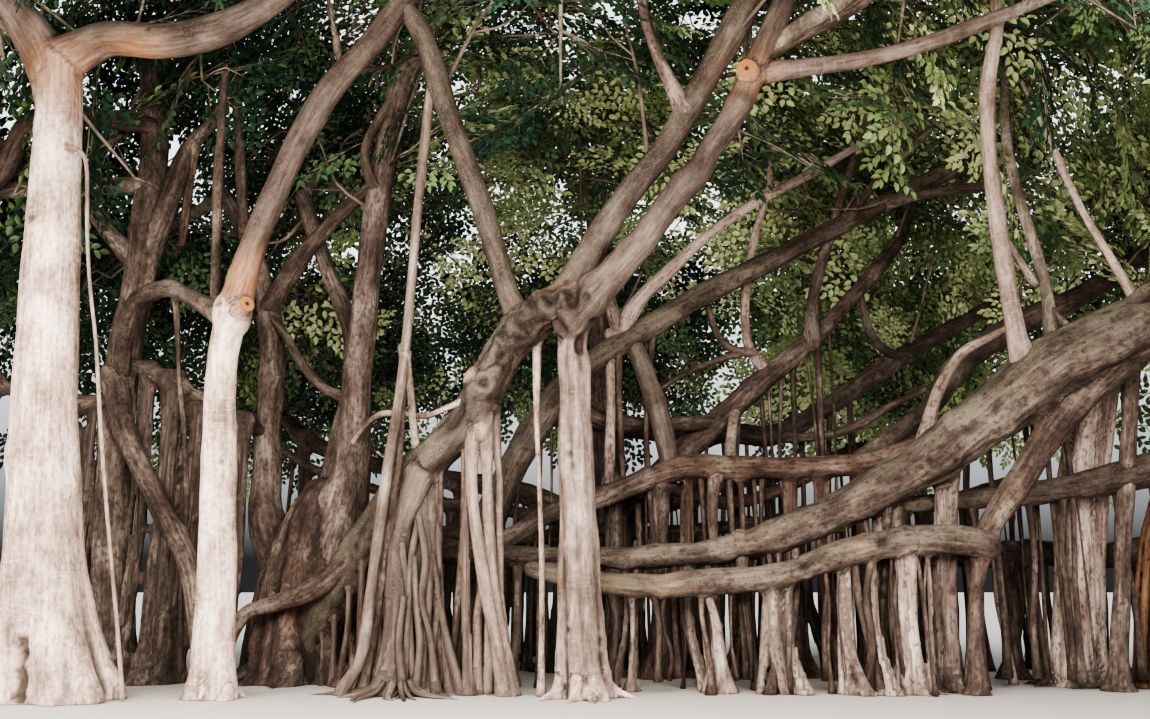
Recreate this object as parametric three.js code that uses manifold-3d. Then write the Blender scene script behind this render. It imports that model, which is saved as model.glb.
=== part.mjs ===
// A banyan tree: an old trunk and its daughter trunks, the boughs that run between them, the prop roots that
// carry the boughs, and a broad low-domed crown. Lengths are millimetres, +Z is up, and the origin is the
// middle of the flat cut under the old trunk. +X runs along the tree's long side, and -Y is its open front.
import * as THREE from "three";
import { mergeVertices } from "three/addons/utils/BufferGeometryUtils.js";
import Module from "manifold-3d";

const wasm = await Module();
wasm.setup();

// The crown: a dome with a blunt shoulder over a flat elliptical plan, arched underneath.
const CROWN_MIDDLE = [4500, 2000];
const CROWN_REACH = [15500, 11500];
const CROWN_SHOULDER_HEIGHT = 5000;
const CROWN_TOP = 15500;
const CROWN_BLUNTNESS = 2.6;
const ARCH_HEIGHT = 8600;
const RIM_DROP = 5200;
const FRONT_LIFT = 3600;
const FRONT_LIFT_STARTS = 1500;
const FRONT_LIFT_ENDS = -5500;

// What separates one solid from the next, and how far the roots run on below the cut before they are trimmed.
const JOINT_GAP = 0.3;
const WELD = 1e-3;
const BELOW_GROUND = 400;
const CELL_MARGIN = 60;
const LIMB_CLEARANCE = 170;

// Foliage: each blade stands for a spray of leaves.
const TWIGS_PER_MASS = 8;
const TWIG_RISE = 0.8;
const SPRAYS_ALONG_TWIG = [0.5, 0.8, 1];
const SPRAY_LENGTH = 2400;
const SPRAY_WIDTH = 1700;
const SPRAY_THICKNESS = 60;
const SPRAY_WIDEST_AT = 0.48;
const TWIG_GIRTH = 85;
const TWIG_TIP_GIRTH = 60;
const SPRAY_SPACING = 1350;
const TURNS_TRIED = 7;
const SHORTEST_TWIG = 600;
const SMOOTHING = 25;
const REACH_STEP = 250;
const REACH_LIMIT = 9000;
const GOLDEN_ANGLE = 2.39996;

// Every station of a route is [x, y, z, radius].
const standing = { sides: 10, steps: 7, flare: 0.35, flareHeight: 480, lobes: 0.16 };
const pillar = { sides: 8, steps: 4, flare: 0.45, flareHeight: 330, lobes: 0.16 };
const bough = { sides: 7, steps: 6 };
const branch = { sides: 5, steps: 5 };

const LIMBS = [
  // The old trunk, low and massive, with the limbs that leave it.
  { name: "old_trunk", bark: "grey_bark", ...standing, flare: 0.3, route: [
    [0, 0, -BELOW_GROUND, 950], [-40, 0, 800, 760], [0, 0, 1650, 700], [60, 20, 2500, 560],
    [120, 40, 3300, 300]] },
  { name: "old_left_limb", bark: "grey_bark", ...bough, route: [
    [-100, 0, 900, 320], [-780, 100, 2500, 290], [-950, 400, 3900, 230], [-1100, 900, 6200, 220],
    [-1800, 1500, 8000, 190], [-2600, 2200, 9300, 170]] },
  { name: "old_upright_limb", bark: "grey_bark", ...bough, route: [
    [150, -100, 1300, 320], [590, -200, 3000, 255], [760, -200, 5600, 235], [970, -200, 8300, 230],
    [1250, -200, 10300, 205], [1700, -200, 11400, 180]] },
  { name: "bending_limb", bark: "grey_bark", ...branch, route: [
    [60, 150, 2000, 280], [380, 500, 4250, 200], [420, 800, 5850, 180], [-200, 1000, 7450, 165],
    [-770, 1300, 8900, 150]] },
  { name: "low_left_limb", bark: "mossy_bark", ...bough, sides: 8, route: [
    [100, -200, 500, 430], [1270, -1500, 2250, 340], [1870, -2000, 3000, 310], [2450, -2400, 3570, 305],
    [3050, -2700, 4350, 290]] },

  // The middle of the front: two supports under a knotted bridge, and the great limbs that rise from it.
  { name: "centre_left_limb", bark: "pale_bark", ...bough, sides: 8, steps: 8, route: [
    [3020, -2700, 4150, 300], [3440, -2700, 5030, 370], [4000, -2700, 5600, 400],
    [4560, -2800, 6080, 390], [5190, -2900, 6980, 305], [6440, -3100, 8940, 265],
    [7000, -3200, 10060, 235], [7500, -3300, 11200, 190]] },
  { name: "centre_pillar", bark: "pale_bark", ...standing, route: [
    [4680, -3000, -BELOW_GROUND, 330], [4570, -3000, 1350, 300], [4530, -3000, 2770, 262],
    [4480, -3000, 4240, 240], [4480, -2900, 5800, 230]] },
  { name: "centre_right_limb", bark: "pale_bark", ...bough, sides: 8, steps: 7, route: [
    [4470, -3050, 5350, 280], [4860, -3150, 5900, 285], [5480, -3300, 6730, 270],
    [6240, -3400, 7560, 285], [6930, -3500, 8640, 270], [7320, -3600, 9410, 225],
    [7720, -3650, 10350, 195], [8200, -3700, 11300, 155]] },
  { name: "upper_right_limb", bark: "pale_bark", ...branch, route: [
    [7150, -3560, 9150, 160], [7910, -3620, 9230, 138], [8790, -3700, 9320, 128],
    [9830, -3800, 9560, 120], [11000, -3950, 9950, 108]] },
  { name: "crossing_limb", bark: "pale_bark", ...branch, route: [
    [3760, -2700, 5300, 205], [3430, -2800, 6060, 168], [3040, -3000, 7350, 170],
    [2580, -3200, 8570, 175], [2190, -3400, 9790, 170], [1850, -3560, 10300, 165]] },
  { name: "strand_pillar", bark: "pale_bark", sides: 5, steps: 4, flare: 0.5, flareHeight: 300, lobes: 0.1,
    strands: 3, strandGirth: 0.62, topSpread: 95, footSpread: 230, flatten: 0.7, route: [
    [3560, -2500, -BELOW_GROUND, 190], [3360, -2550, 1200, 180], [3200, -2600, 2300, 190],
    [3080, -2700, 4350, 250]] },
  { name: "root_curtain", bark: "grey_bark", sides: 4, steps: 3, flare: 0.9, flareHeight: 260, lobes: 0,
    strands: 7, strandGirth: 0.52, topSpread: 190, footSpread: 560, flatten: 0.55, route: [
    [2030, -2500, -BELOW_GROUND, 230], [1990, -2480, 1300, 210], [1950, -2400, 2500, 230],
    [2000, -2150, 3250, 330]] },

  // The two daughter trunks on the left of the front.
  { name: "left_trunk", bark: "pale_bark", ...standing, sides: 12, steps: 8, flare: 0.42, lobes: 0.13,
    route: [
    [-2720, -3300, -BELOW_GROUND, 650], [-2950, -3300, 1350, 585], [-3090, -3300, 2750, 486],
    [-3270, -3300, 5690, 414], [-3400, -3300, 8360, 340], [-3460, -3300, 9650, 370]] },
  { name: "left_sweeping_bough", bark: "pale_bark", ...bough, route: [
    [-3450, -3300, 9480, 300], [-2670, -3400, 9830, 262], [-1780, -3500, 9740, 260],
    [-730, -3700, 9900, 240], [130, -3900, 10300, 195], [680, -4050, 10850, 170],
    [1500, -3900, 11150, 150], [2360, -3680, 11120, 135]] },
  { name: "left_upright_bough", bark: "pale_bark", ...bough, steps: 4, route: [
    [-3500, -3300, 9400, 280], [-4030, -3500, 10080, 245], [-4460, -3700, 10700, 210],
    [-4850, -4000, 11300, 180]] },
  { name: "second_trunk", bark: "pale_bark", ...standing, flare: 0.3, route: [
    [-550, -3100, -BELOW_GROUND, 310], [-590, -3100, 1350, 270], [-670, -3100, 3050, 254],
    [-720, -3100, 4680, 214], [-620, -3100, 5600, 250]] },
  { name: "second_bough", bark: "pale_bark", ...bough, route: [
    [-620, -3100, 5450, 225], [-380, -3200, 6410, 203], [110, -3300, 7720, 197],
    [760, -3400, 8970, 198], [1440, -3500, 9740, 200], [2040, -3600, 10610, 184],
    [2570, -3700, 11470, 155]] },
  { name: "left_back_trunk", bark: "grey_bark", ...standing, sides: 10, flare: 0.3, route: [
    [-2900, -500, -BELOW_GROUND, 330], [-3340, -300, 2960, 275], [-3390, -100, 5420, 280],
    [-3260, 100, 7670, 300], [-3340, 300, 10060, 240], [-3550, 400, 11400, 200]] },
  { name: "mossy_side_limb", bark: "mossy_bark", ...branch, route: [
    [-700, -3100, 5450, 170], [-1410, -2700, 5880, 138], [-1950, -2300, 6140, 142],
    [-2600, -1700, 6060, 146], [-3090, -900, 5600, 152], [-3390, -100, 5000, 156]] },
  { name: "diagonal_limb", bark: "grey_bark", ...branch, steps: 5, flare: 0.3, flareHeight: 300, route: [
    [-3500, -250, 5100, 190], [-2990, -700, 3950, 185], [-2270, -1000, 2840, 180],
    [-1570, -1350, 1710, 175], [-1050, -1600, -BELOW_GROUND, 185]] },

  // The right of the front: a long low bough from the right-hand trunk, with the props and stems on it.
  { name: "right_trunk", bark: "grey_bark", ...standing, flare: 0.35, route: [
    [15700, -1900, -BELOW_GROUND, 620], [15500, -2000, 1800, 560], [15350, -2300, 4300, 530],
    [15450, -2300, 6600, 500], [16100, -1600, 8400, 330]] },
  { name: "great_low_bough", bark: "mossy_bark", ...bough, steps: 9, route: [
    [15400, -2400, 6700, 520], [13340, -2600, 5550, 500], [11900, -2600, 4850, 455],
    [10970, -2500, 4170, 425], [10050, -2400, 3490, 390], [9160, -2200, 2980, 320],
    [7960, -2000, 2460, 260], [7060, -1800, 2160, 217], [5520, -1500, 2000, 190],
    [3940, -1300, 2010, 175], [2330, -1200, 2110, 165], [1320, -1480, 2250, 150]],
    props: { count: 5, from: 0.55, to: 0.97, girth: 72, stray: 260, seed: 11 } },
  { name: "right_prop_limb", bark: "mossy_bark", ...bough, steps: 8, flare: 0.5, flareHeight: 260, route: [
    [13000, -2580, 5150, 290], [11870, -2560, 4020, 243], [11190, -2550, 3110, 226],
    [10620, -2550, 2360, 194], [10430, -2550, 1630, 163], [10350, -2550, -BELOW_GROUND, 175]] },
  { name: "lower_bough", bark: "mossy_bark", ...branch, steps: 7, route: [
    [10560, -2560, 2140, 208], [9640, -2560, 2200, 196], [9040, -2560, 2140, 194],
    [8440, -2540, 1990, 193], [7550, -2440, 1700, 180], [6370, -2300, 1560, 165],
    [5480, -2200, 1530, 160], [3810, -2000, 1780, 130]],
    props: { count: 6, from: 0.08, to: 0.95, girth: 52, stray: 240, seed: 23 } },
  { name: "rear_twin_pillar", bark: "grey_bark", ...pillar, route: [
    [9210, -1900, -BELOW_GROUND, 225], [9230, -1900, 1330, 214], [9320, -2050, 3000, 232]] },
  { name: "front_twin_pillar", bark: "pale_bark", ...pillar, steps: 4, route: [
    [9390, -2480, -BELOW_GROUND, 155], [9390, -2500, 1050, 148], [9420, -2550, 2150, 168]] },
  { name: "shoulder_pillar", bark: "grey_bark", ...pillar, route: [
    [10040, -2060, -BELOW_GROUND, 205], [10100, -2080, 1330, 181], [10180, -2250, 3350, 220]] },
  { name: "forked_foot_pillar", bark: "grey_bark", ...pillar, flare: 1, lobes: 0.3, steps: 4, route: [
    [7440, -2400, -BELOW_GROUND, 150], [7390, -2400, 750, 160], [7410, -2430, 1650, 168]] },
  { name: "bundled_pillar", bark: "pale_bark", sides: 4, steps: 3, flare: 0.6, flareHeight: 260, lobes: 0,
    strands: 3, strandGirth: 0.62, topSpread: 60, footSpread: 170, flatten: 0.8, route: [
    [8540, -2480, -BELOW_GROUND, 120], [8490, -2500, 760, 115], [8470, -2540, 2000, 150]] },
  { name: "fluted_pillar", bark: "grey_bark", ...pillar, sides: 12, flare: 0.5, lobes: 0.14, steps: 7,
    route: [
    [12380, -1050, -BELOW_GROUND, 330], [12520, -1050, 1320, 305], [12700, -1100, 2910, 310],
    [12900, -1400, 4400, 320], [12900, -2100, 5300, 290]] },
  { name: "red_root_bundle", bark: "red_bark", sides: 4, steps: 3, flare: 0.3, flareHeight: 260, lobes: 0,
    strands: 4, strandGirth: 0.5, topSpread: 90, footSpread: 260, flatten: 0.8, route: [
    [13410, -1400, -BELOW_GROUND, 190], [13600, -1500, 1950, 165], [13800, -1800, 3400, 150],
    [13950, -2350, 5500, 190]] },
  { name: "right_upright", bark: "pale_bark", ...branch, sides: 8, route: [
    [11380, -2600, 4500, 215], [11170, -2700, 5840, 155], [10980, -2900, 7380, 147],
    [10900, -3100, 8940, 140], [11030, -3200, 10300, 130]] },
  { name: "far_right_upright", bark: "pale_bark", ...branch, steps: 5, route: [
    [13360, -2450, 5600, 130], [13010, -2250, 6630, 104], [12650, -2150, 7490, 98],
    [12320, -1950, 8770, 92], [12050, -1700, 9900, 85]] },
  { name: "low_right_bough", bark: "mossy_bark", ...branch, sides: 6, route: [
    [15400, -2000, 3900, 300], [13500, -1900, 3300, 270], [12000, -1750, 3000, 190],
    [10900, -1700, 2880, 160], [9300, -1950, 2760, 140]] },
  { name: "right_back_bough", bark: "mossy_bark", ...branch, route: [
    [15600, -1400, 2500, 230], [13600, 0, 2050, 210], [12300, 200, 2120, 205], [11200, 100, 2000, 180],
    [9900, -300, 2250, 140]],
    props: { count: 4, from: 0.12, to: 0.92, girth: 110, stray: 160, seed: 31 } },

  // Boughs and props behind the front row.
  { name: "back_low_bough", bark: "red_bark", ...bough, sides: 6, steps: 8, route: [
    [5330, 6450, 2350, 240], [5250, 4300, 2600, 230], [5280, 2200, 2800, 222], [5990, 300, 3430, 225],
    [7220, 300, 3560, 228], [8450, 250, 3560, 211], [9630, 0, 3650, 190], [10780, -500, 4000, 175],
    [11900, -1400, 4500, 170], [12500, -2300, 4950, 170]],
    props: { count: 7, from: 0.3, to: 0.76, girth: 105, stray: 240, seed: 43 } },
  { name: "long_back_bough", bark: "mossy_bark", ...bough, steps: 9, flare: 0.3, flareHeight: 300, route: [
    [2600, 600, -BELOW_GROUND, 290], [2900, 550, 2300, 280], [4230, 500, 4900, 250],
    [6050, 500, 6280, 218], [8770, 1100, 7880, 190], [10450, 1500, 8810, 176], [12450, 2000, 9930, 160],
    [13800, 2400, 10700, 145]] },
  { name: "slanting_prop", bark: "pale_bark", ...branch, steps: 3, route: [
    [6200, 320, 3450, 215], [5930, 420, 4790, 180], [5500, 500, 6000, 165]] },
  { name: "rising_back_bough", bark: "grey_bark", ...bough, steps: 7, flare: 0.4, flareHeight: 300, route: [
    [5560, 2500, -BELOW_GROUND, 265], [5490, 2250, 2700, 255], [7610, 1700, 4970, 226],
    [8820, 1800, 5970, 205], [9900, 2200, 7030, 177], [11210, 3300, 8520, 160], [11900, 4200, 9700, 145]] },

  // The far side, which stands behind all of these.
  { name: "rear_trunk", bark: "grey_bark", ...standing, sides: 10, flare: 0.3, route: [
    [5500, 6500, -BELOW_GROUND, 480], [5350, 6550, 2200, 420], [5200, 6700, 5200, 330],
    [5050, 6800, 8200, 230], [5000, 6900, 9600, 190]] },
  { name: "rear_left_bough", bark: "grey_bark", ...branch, sides: 6, route: [
    [5350, 6550, 2700, 290], [3200, 6700, 3650, 250], [500, 7100, 4150, 225], [-1800, 8000, 4900, 195],
    [-3300, 9200, 6000, 165]],
    props: { count: 5, from: 0.15, to: 0.85, girth: 130, stray: 420, seed: 59 } },
  { name: "rear_right_bough", bark: "grey_bark", ...branch, sides: 6, route: [
    [5350, 6550, 2900, 290], [7700, 6500, 3800, 255], [10200, 6700, 4300, 225],
    [12600, 7500, 5100, 195], [13600, 8600, 6000, 165]],
    props: { count: 5, from: 0.15, to: 0.85, girth: 130, stray: 420, seed: 71 } },
];

// Each mass of foliage grows from the last station of its stem, and keeps to the space nearest to it.
const MASSES = [
  { name: "foliage_front_left", tint: "dark_leaf", stem: [
    [-4850, -4000, 11200, 120], [-6300, -4700, 11300, 90]] },
  { name: "foliage_front_second", tint: "dark_leaf", stem: [
    [650, -4080, 10900, 120], [-700, -5600, 12300, 90]] },
  { name: "foliage_front_middle", tint: "dark_leaf", stem: [
    [2560, -3700, 11400, 115], [4300, -5200, 12900, 90]] },
  { name: "foliage_front_right", tint: "mid_leaf", stem: [
    [7330, -3600, 9450, 165], [8000, -3650, 9950, 140], [8850, -3800, 10600, 130],
    [9700, -5300, 12300, 90]] },
  { name: "foliage_front_far_right", tint: "mid_leaf", stem: [
    [10950, -3940, 9930, 100], [14300, -4900, 11000, 80]] },
  { name: "foliage_left", tint: "dark_leaf", stem: [
    [-3300, 100, 8700, 190], [-5400, -300, 8500, 165], [-8100, 700, 8400, 90]] },
  { name: "foliage_left_top", tint: "dark_leaf", stem: [[-3540, 400, 11300, 140], [-3300, 1600, 13000, 90]] },
  { name: "foliage_middle_top", tint: "mid_leaf", stem: [[1680, -200, 11350, 130], [2400, 900, 13500, 90]] },
  { name: "foliage_right_top", tint: "mid_leaf", stem: [[7450, -3290, 11100, 140], [8000, -200, 13600, 90]] },
  { name: "foliage_far_right_top", tint: "bright_leaf", stem: [
    [11850, -2350, 4900, 140], [12000, -2100, 6200, 104], [11750, -1600, 8900, 95],
    [12900, 500, 12300, 80]] },
  { name: "foliage_right", tint: "bright_leaf", stem: [[16050, -1650, 8300, 190], [17300, 1400, 9200, 100]] },
  { name: "foliage_back_left", tint: "dark_leaf", stem: [
    [-2580, 2180, 9250, 130], [-4700, 4000, 8900, 110], [-6600, 5400, 8600, 90]] },
  { name: "foliage_back_second", tint: "mid_leaf", stem: [
    [-760, 1290, 8850, 115], [-1000, 4000, 10600, 105], [-1300, 6300, 11800, 90]] },
  { name: "foliage_back_middle", tint: "bright_leaf", stem: [
    [5000, 6880, 9500, 150], [4600, 7000, 12600, 90]] },
  { name: "foliage_back_right", tint: "bright_leaf", stem: [
    [11880, 4170, 9650, 115], [11000, 6600, 11600, 90]] },
  { name: "foliage_rear_left", tint: "mid_leaf", stem: [[-3280, 9180, 5980, 130], [-2600, 10300, 7300, 90]] },
  { name: "foliage_rear_middle", tint: "mid_leaf", stem: [
    [5150, 6740, 6300, 160], [4800, 9000, 7200, 120], [4600, 11300, 7900, 90]] },
  { name: "foliage_rear_right", tint: "bright_leaf", stem: [
    [13580, 8570, 5980, 130], [12600, 10000, 7400, 90]] },
];

// Colours and roughness of the materials.
const FINISHES = {
  pale_bark: { color: 0xc2ac9c, roughness: 0.75 },
  grey_bark: { color: 0x84766a, roughness: 0.85 },
  mossy_bark: { color: 0x8a7d69, roughness: 0.9 },
  red_bark: { color: 0x97664b, roughness: 0.85 },
  dark_leaf: { color: 0x2c4d2b, roughness: 0.5 },
  mid_leaf: { color: 0x3c6427, roughness: 0.5 },
  bright_leaf: { color: 0x5f8a2c, roughness: 0.5 },
};

// A repeatable row of numbers from 0 to 1.
function seeded(seed) {
  let state = seed >>> 0;
  return () => {
    state = (Math.imul(state, 1664525) + 1013904223) >>> 0;
    return state / 4294967296;
  };
}

// Routes: a smooth curve through the stations, with the radius changing evenly between them.
const point = ([x, y, z]) => new THREE.Vector3(x, y, z);
const curveOf = (route) => new THREE.CatmullRomCurve3(route.map(point), false, "catmullrom", 0.5);

function girthAt(route, t) {
  const place = Math.min(t, 1) * (route.length - 1);
  const before = Math.min(Math.floor(place), route.length - 2);
  return THREE.MathUtils.lerp(route[before][3], route[before + 1][3], place - before);
}

// Solids from closed meshes.
function solidOf(geometry) {
  const bare = geometry.clone();
  bare.deleteAttribute("normal");
  bare.deleteAttribute("uv");
  const merged = mergeVertices(bare, WELD);
  return new wasm.Manifold(new wasm.Mesh({
    numProp: 3,
    vertProperties: new Float32Array(merged.attributes.position.array),
    triVerts: new Uint32Array(merged.index.array),
  }));
}

function indexed(corners, faces) {
  const geometry = new THREE.BufferGeometry();
  const places = corners.flatMap((c) => [c.x, c.y, c.z]);
  geometry.setAttribute("position", new THREE.Float32BufferAttribute(places, 3));
  geometry.setIndex(faces.flat());
  return geometry;
}

// A tapering limb: rings of corners across the curve, pleated and widened where it meets the ground.
function limbGeometry(limb, grow = 0) {
  const { route, sides, steps, flare = 0, flareHeight = 1, lobes = 0 } = limb;
  const curve = curveOf(route);
  const corners = [];
  const faces = [];
  let side = new THREE.Vector3(1, 0, 0);
  for (let i = 0; i <= steps; i++) {
    const t = i / steps;
    const ahead = curve.getTangent(t).normalize();
    const middle = curve.getPoint(t);
    if (i === 0) middle.addScaledVector(ahead, -grow);
    if (i === steps) middle.addScaledVector(ahead, grow);
    side = side.clone().addScaledVector(ahead, -side.dot(ahead));
    if (side.length() < 0.2) side.set(0, 1, 0).addScaledVector(ahead, -ahead.y);
    side.normalize();
    const across = new THREE.Vector3().crossVectors(ahead, side);
    const nearGround = Math.exp(-Math.max(middle.z, 0) / flareHeight);
    for (let k = 0; k < sides; k++) {
      const angle = (k / sides) * 2 * Math.PI;
      const pleat = 1 + lobes * nearGround * (k % 2 ? -1 : 1);
      const radius = girthAt(route, t) * (1 + flare * nearGround) * pleat + grow;
      corners.push(middle.clone()
        .addScaledVector(side, radius * Math.cos(angle))
        .addScaledVector(across, radius * Math.sin(angle)));
    }
  }
  for (let i = 0; i < steps; i++) {
    for (let k = 0; k < sides; k++) {
      const a = i * sides + k;
      const b = i * sides + ((k + 1) % sides);
      faces.push([a, b, b + sides], [a, b + sides, a + sides]);
    }
  }
  const last = steps * sides;
  for (let k = 1; k < sides - 1; k++) faces.push([0, k + 1, k], [last, last + k, last + k + 1]);
  return indexed(corners, faces);
}

// The strands of a bundle stand round the pillar's own line, close at the head and apart at the foot.
function strandsOf(limb) {
  const { route, strands, strandGirth, topSpread, footSpread, flatten } = limb;
  return Array.from({ length: strands }, (_, n) => {
    const angle = (n / strands) * 2 * Math.PI + 0.4;
    const strandRoute = route.map(([x, y, z, radius], i) => {
      const share = i / (route.length - 1);
      const sway = 1 + 0.25 * Math.sin(3 * share * Math.PI + n * 1.7);
      const spread = THREE.MathUtils.lerp(footSpread, topSpread, share) * sway;
      return [x + spread * Math.cos(angle), y + flatten * spread * Math.sin(angle), z, radius * strandGirth];
    });
    return { ...limb, route: strandRoute, strands: 0 };
  });
}

// Prop roots that drop from a bough to the ground.
function propsOf(limb) {
  const { count, from, to, girth, stray, seed } = limb.props;
  const random = seeded(seed);
  const curve = curveOf(limb.route);
  return Array.from({ length: count }, (_, n) => {
    const t = from + ((to - from) * (n + 0.2 + 0.6 * random())) / count;
    const top = curve.getPoint(t);
    const foot = [top.x + stray * (random() - 0.5) * 2, top.y + stray * (random() - 0.5) * 2];
    const radius = girth * (0.75 + 0.5 * random());
    return {
      sides: 4, steps: 2, flare: 0.8, flareHeight: 260, lobes: 0,
      route: [[foot[0], foot[1], -BELOW_GROUND, radius], [top.x, top.y, top.z * 0.45, radius * 0.85],
        [top.x, top.y, top.z, radius]],
    };
  });
}

const ground = solidOf(new THREE.BoxGeometry(60000, 60000, 4000).translate(0, 0, -2000));

function geometryOf(solid) {
  const { numProp, vertProperties, triVerts } = solid.getMesh();
  const places = [];
  for (let i = 0; i < vertProperties.length; i += numProp) places.push(...vertProperties.subarray(i, i + 3));
  const geometry = new THREE.BufferGeometry();
  geometry.setAttribute("position", new THREE.Float32BufferAttribute(places, 3));
  geometry.setIndex([...triVerts]);
  return geometry;
}

// The largest single body of a solid, with any hollow inside it filled. Rounding a thin neck's corners can
// part it, so the rounded body is looked at again.
function wholeOf(solid) {
  const largest = solid.decompose().reduce((best, body) => (body.volume() > best.volume() ? body : best));
  const rounded = solidOf(geometryOf(largest));
  return rounded.decompose().length === 1 ? rounded : wholeOf(rounded);
}

function tubesOf(limb) {
  const tubes = limb.strands ? strandsOf(limb) : [limb];
  return limb.props ? [...tubes, ...propsOf(limb)] : tubes;
}

function limbSolid(limb, grow = 0) {
  const fused = tubesOf(limb).map((tube) => solidOf(limbGeometry(tube, grow))).reduce((a, b) => a.add(b));
  return fused.subtract(ground);
}

const boxesMeet = (a, b) => [0, 1, 2].every((k) => a.min[k] <= b.max[k] && b.min[k] <= a.max[k]);

// Each limb is cut back where it meets one that stands before it in the list.
const cutters = [];
const limbSolids = LIMBS.map((limb) => {
  let solid = limbSolid(limb);
  for (const cutter of cutters) {
    if (boxesMeet(cutter.boundingBox(), solid.boundingBox())) solid = solid.subtract(cutter);
  }
  cutters.push(limbSolid(limb, JOINT_GAP));
  return wholeOf(solid);
});

// The space of the crown, and of each mass in it.
function underside(x, y) {
  const along = (x - CROWN_MIDDLE[0]) / CROWN_REACH[0];
  const across = (y - CROWN_MIDDLE[1]) / CROWN_REACH[1];
  const out = Math.min(Math.hypot(along, across), 1);
  const lift = (FRONT_LIFT_STARTS - y) / (FRONT_LIFT_STARTS - FRONT_LIFT_ENDS);
  const forward = THREE.MathUtils.clamp(lift, 0, 1);
  return ARCH_HEIGHT - RIM_DROP * out ** 2 + FRONT_LIFT * forward * out ** 2;
}

function inCrown(p) {
  const along = Math.abs(p.x - CROWN_MIDDLE[0]) / CROWN_REACH[0];
  const across = Math.abs(p.y - CROWN_MIDDLE[1]) / CROWN_REACH[1];
  const up = Math.max(p.z - CROWN_SHOULDER_HEIGHT, 0) / (CROWN_TOP - CROWN_SHOULDER_HEIGHT);
  const out = along ** CROWN_BLUNTNESS + across ** CROWN_BLUNTNESS + up ** CROWN_BLUNTNESS;
  return out <= 1 && p.z >= underside(p.x, p.y);
}

const CROWN_HEART = point([...CROWN_MIDDLE, 3000]);
const hubs = MASSES.map((mass) => point(mass.stem.at(-1)));

function inOwnSpace(p, own) {
  if (!inCrown(p)) return false;
  const near = p.distanceTo(hubs[own]);
  return hubs.every((hub, i) => i === own || p.distanceTo(hub) > near + 2 * CELL_MARGIN);
}

// Limbs and stems as beads, to keep sprays and twigs off them.
function beadsOf(route) {
  const curve = curveOf(route);
  const count = Math.ceil(curve.getLength() / 180);
  const beadAt = (share) => ({ at: curve.getPoint(share), radius: girthAt(route, share) });
  return Array.from({ length: count + 1 }, (_, i) => beadAt(i / count));
}
const limbBeads = LIMBS.flatMap(tubesOf).flatMap((tube) => beadsOf(tube.route));
const stemBeads = MASSES.map((mass) => beadsOf(mass.stem));

// Whether a shape, given as a way to find its nearest place to a bead, keeps off every limb and other stem.
function keepsClear(nearestTo, own) {
  const nearest = new THREE.Vector3();
  const clear = (bead) => {
    nearestTo(bead.at, nearest);
    return nearest.distanceTo(bead.at) > bead.radius + LIMB_CLEARANCE;
  };
  return limbBeads.every(clear) && stemBeads.every((beads, i) => i === own || beads.every(clear));
}

// A blade that stands for a spray: five corners and six faces, flat below, its root at the heart of the twig.
function sprayCorners(root, ahead, up) {
  const side = new THREE.Vector3().crossVectors(ahead, up).normalize();
  const level = new THREE.Vector3().crossVectors(side, ahead).normalize();
  const wide = root.clone().addScaledVector(ahead, SPRAY_LENGTH * SPRAY_WIDEST_AT);
  return [
    root.clone(),
    wide.clone().addScaledVector(side, SPRAY_WIDTH / 2),
    root.clone().addScaledVector(ahead, SPRAY_LENGTH),
    wide.clone().addScaledVector(side, -SPRAY_WIDTH / 2),
    wide.clone().addScaledVector(level, SPRAY_THICKNESS),
  ];
}

const SPRAY_FACES = [[0, 1, 4], [1, 2, 4], [2, 3, 4], [3, 0, 4], [0, 3, 1], [1, 3, 2]];

// A spray is kept where all of it lies in the mass's own space, clear of the limbs.
function sprayFits([root, left, tip, right], own) {
  if (![left, tip, right].every((p) => inOwnSpace(p, own))) return false;
  return [new THREE.Triangle(root, left, right), new THREE.Triangle(left, tip, right)].every((half) =>
    keepsClear((p, nearest) => half.closestPointToPoint(p, nearest), own));
}

function reachFrom(hub, ahead, own) {
  let reach = 0;
  while (reach < REACH_LIMIT && inOwnSpace(hub.clone().addScaledVector(ahead, reach + REACH_STEP), own)) {
    reach += REACH_STEP;
  }
  return reach;
}

// Sprays lie along the dome of the crown, each turned its own way.
function sprayAt(root, twigAhead, turn, random) {
  const outward = root.clone().sub(CROWN_HEART).normalize();
  const level = new THREE.Vector3(-outward.y, outward.x, 0).normalize();
  const downhill = new THREE.Vector3().crossVectors(outward, level);
  const ahead = level.multiplyScalar(Math.cos(turn)).addScaledVector(downhill, Math.sin(turn));
  ahead.addScaledVector(twigAhead, 0.6).normalize();
  const up = outward.add(new THREE.Vector3(random() - 0.5, random() - 0.5, random() - 0.5));
  return sprayCorners(root, ahead, up);
}

// A spray that doesn't fit one way is turned further round, and left out when no way fits.
function firstThatFits(root, twigAhead, turn, random, own, placed) {
  for (let k = 0; k < TURNS_TRIED; k++) {
    const corners = sprayAt(root, twigAhead, turn + (k * 2 * Math.PI) / TURNS_TRIED, random);
    const middle = corners[4];
    if (placed.every((other) => other.distanceTo(middle) > SPRAY_SPACING) && sprayFits(corners, own)) {
      placed.push(middle);
      return [indexed(corners, SPRAY_FACES)];
    }
  }
  return [];
}

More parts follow.
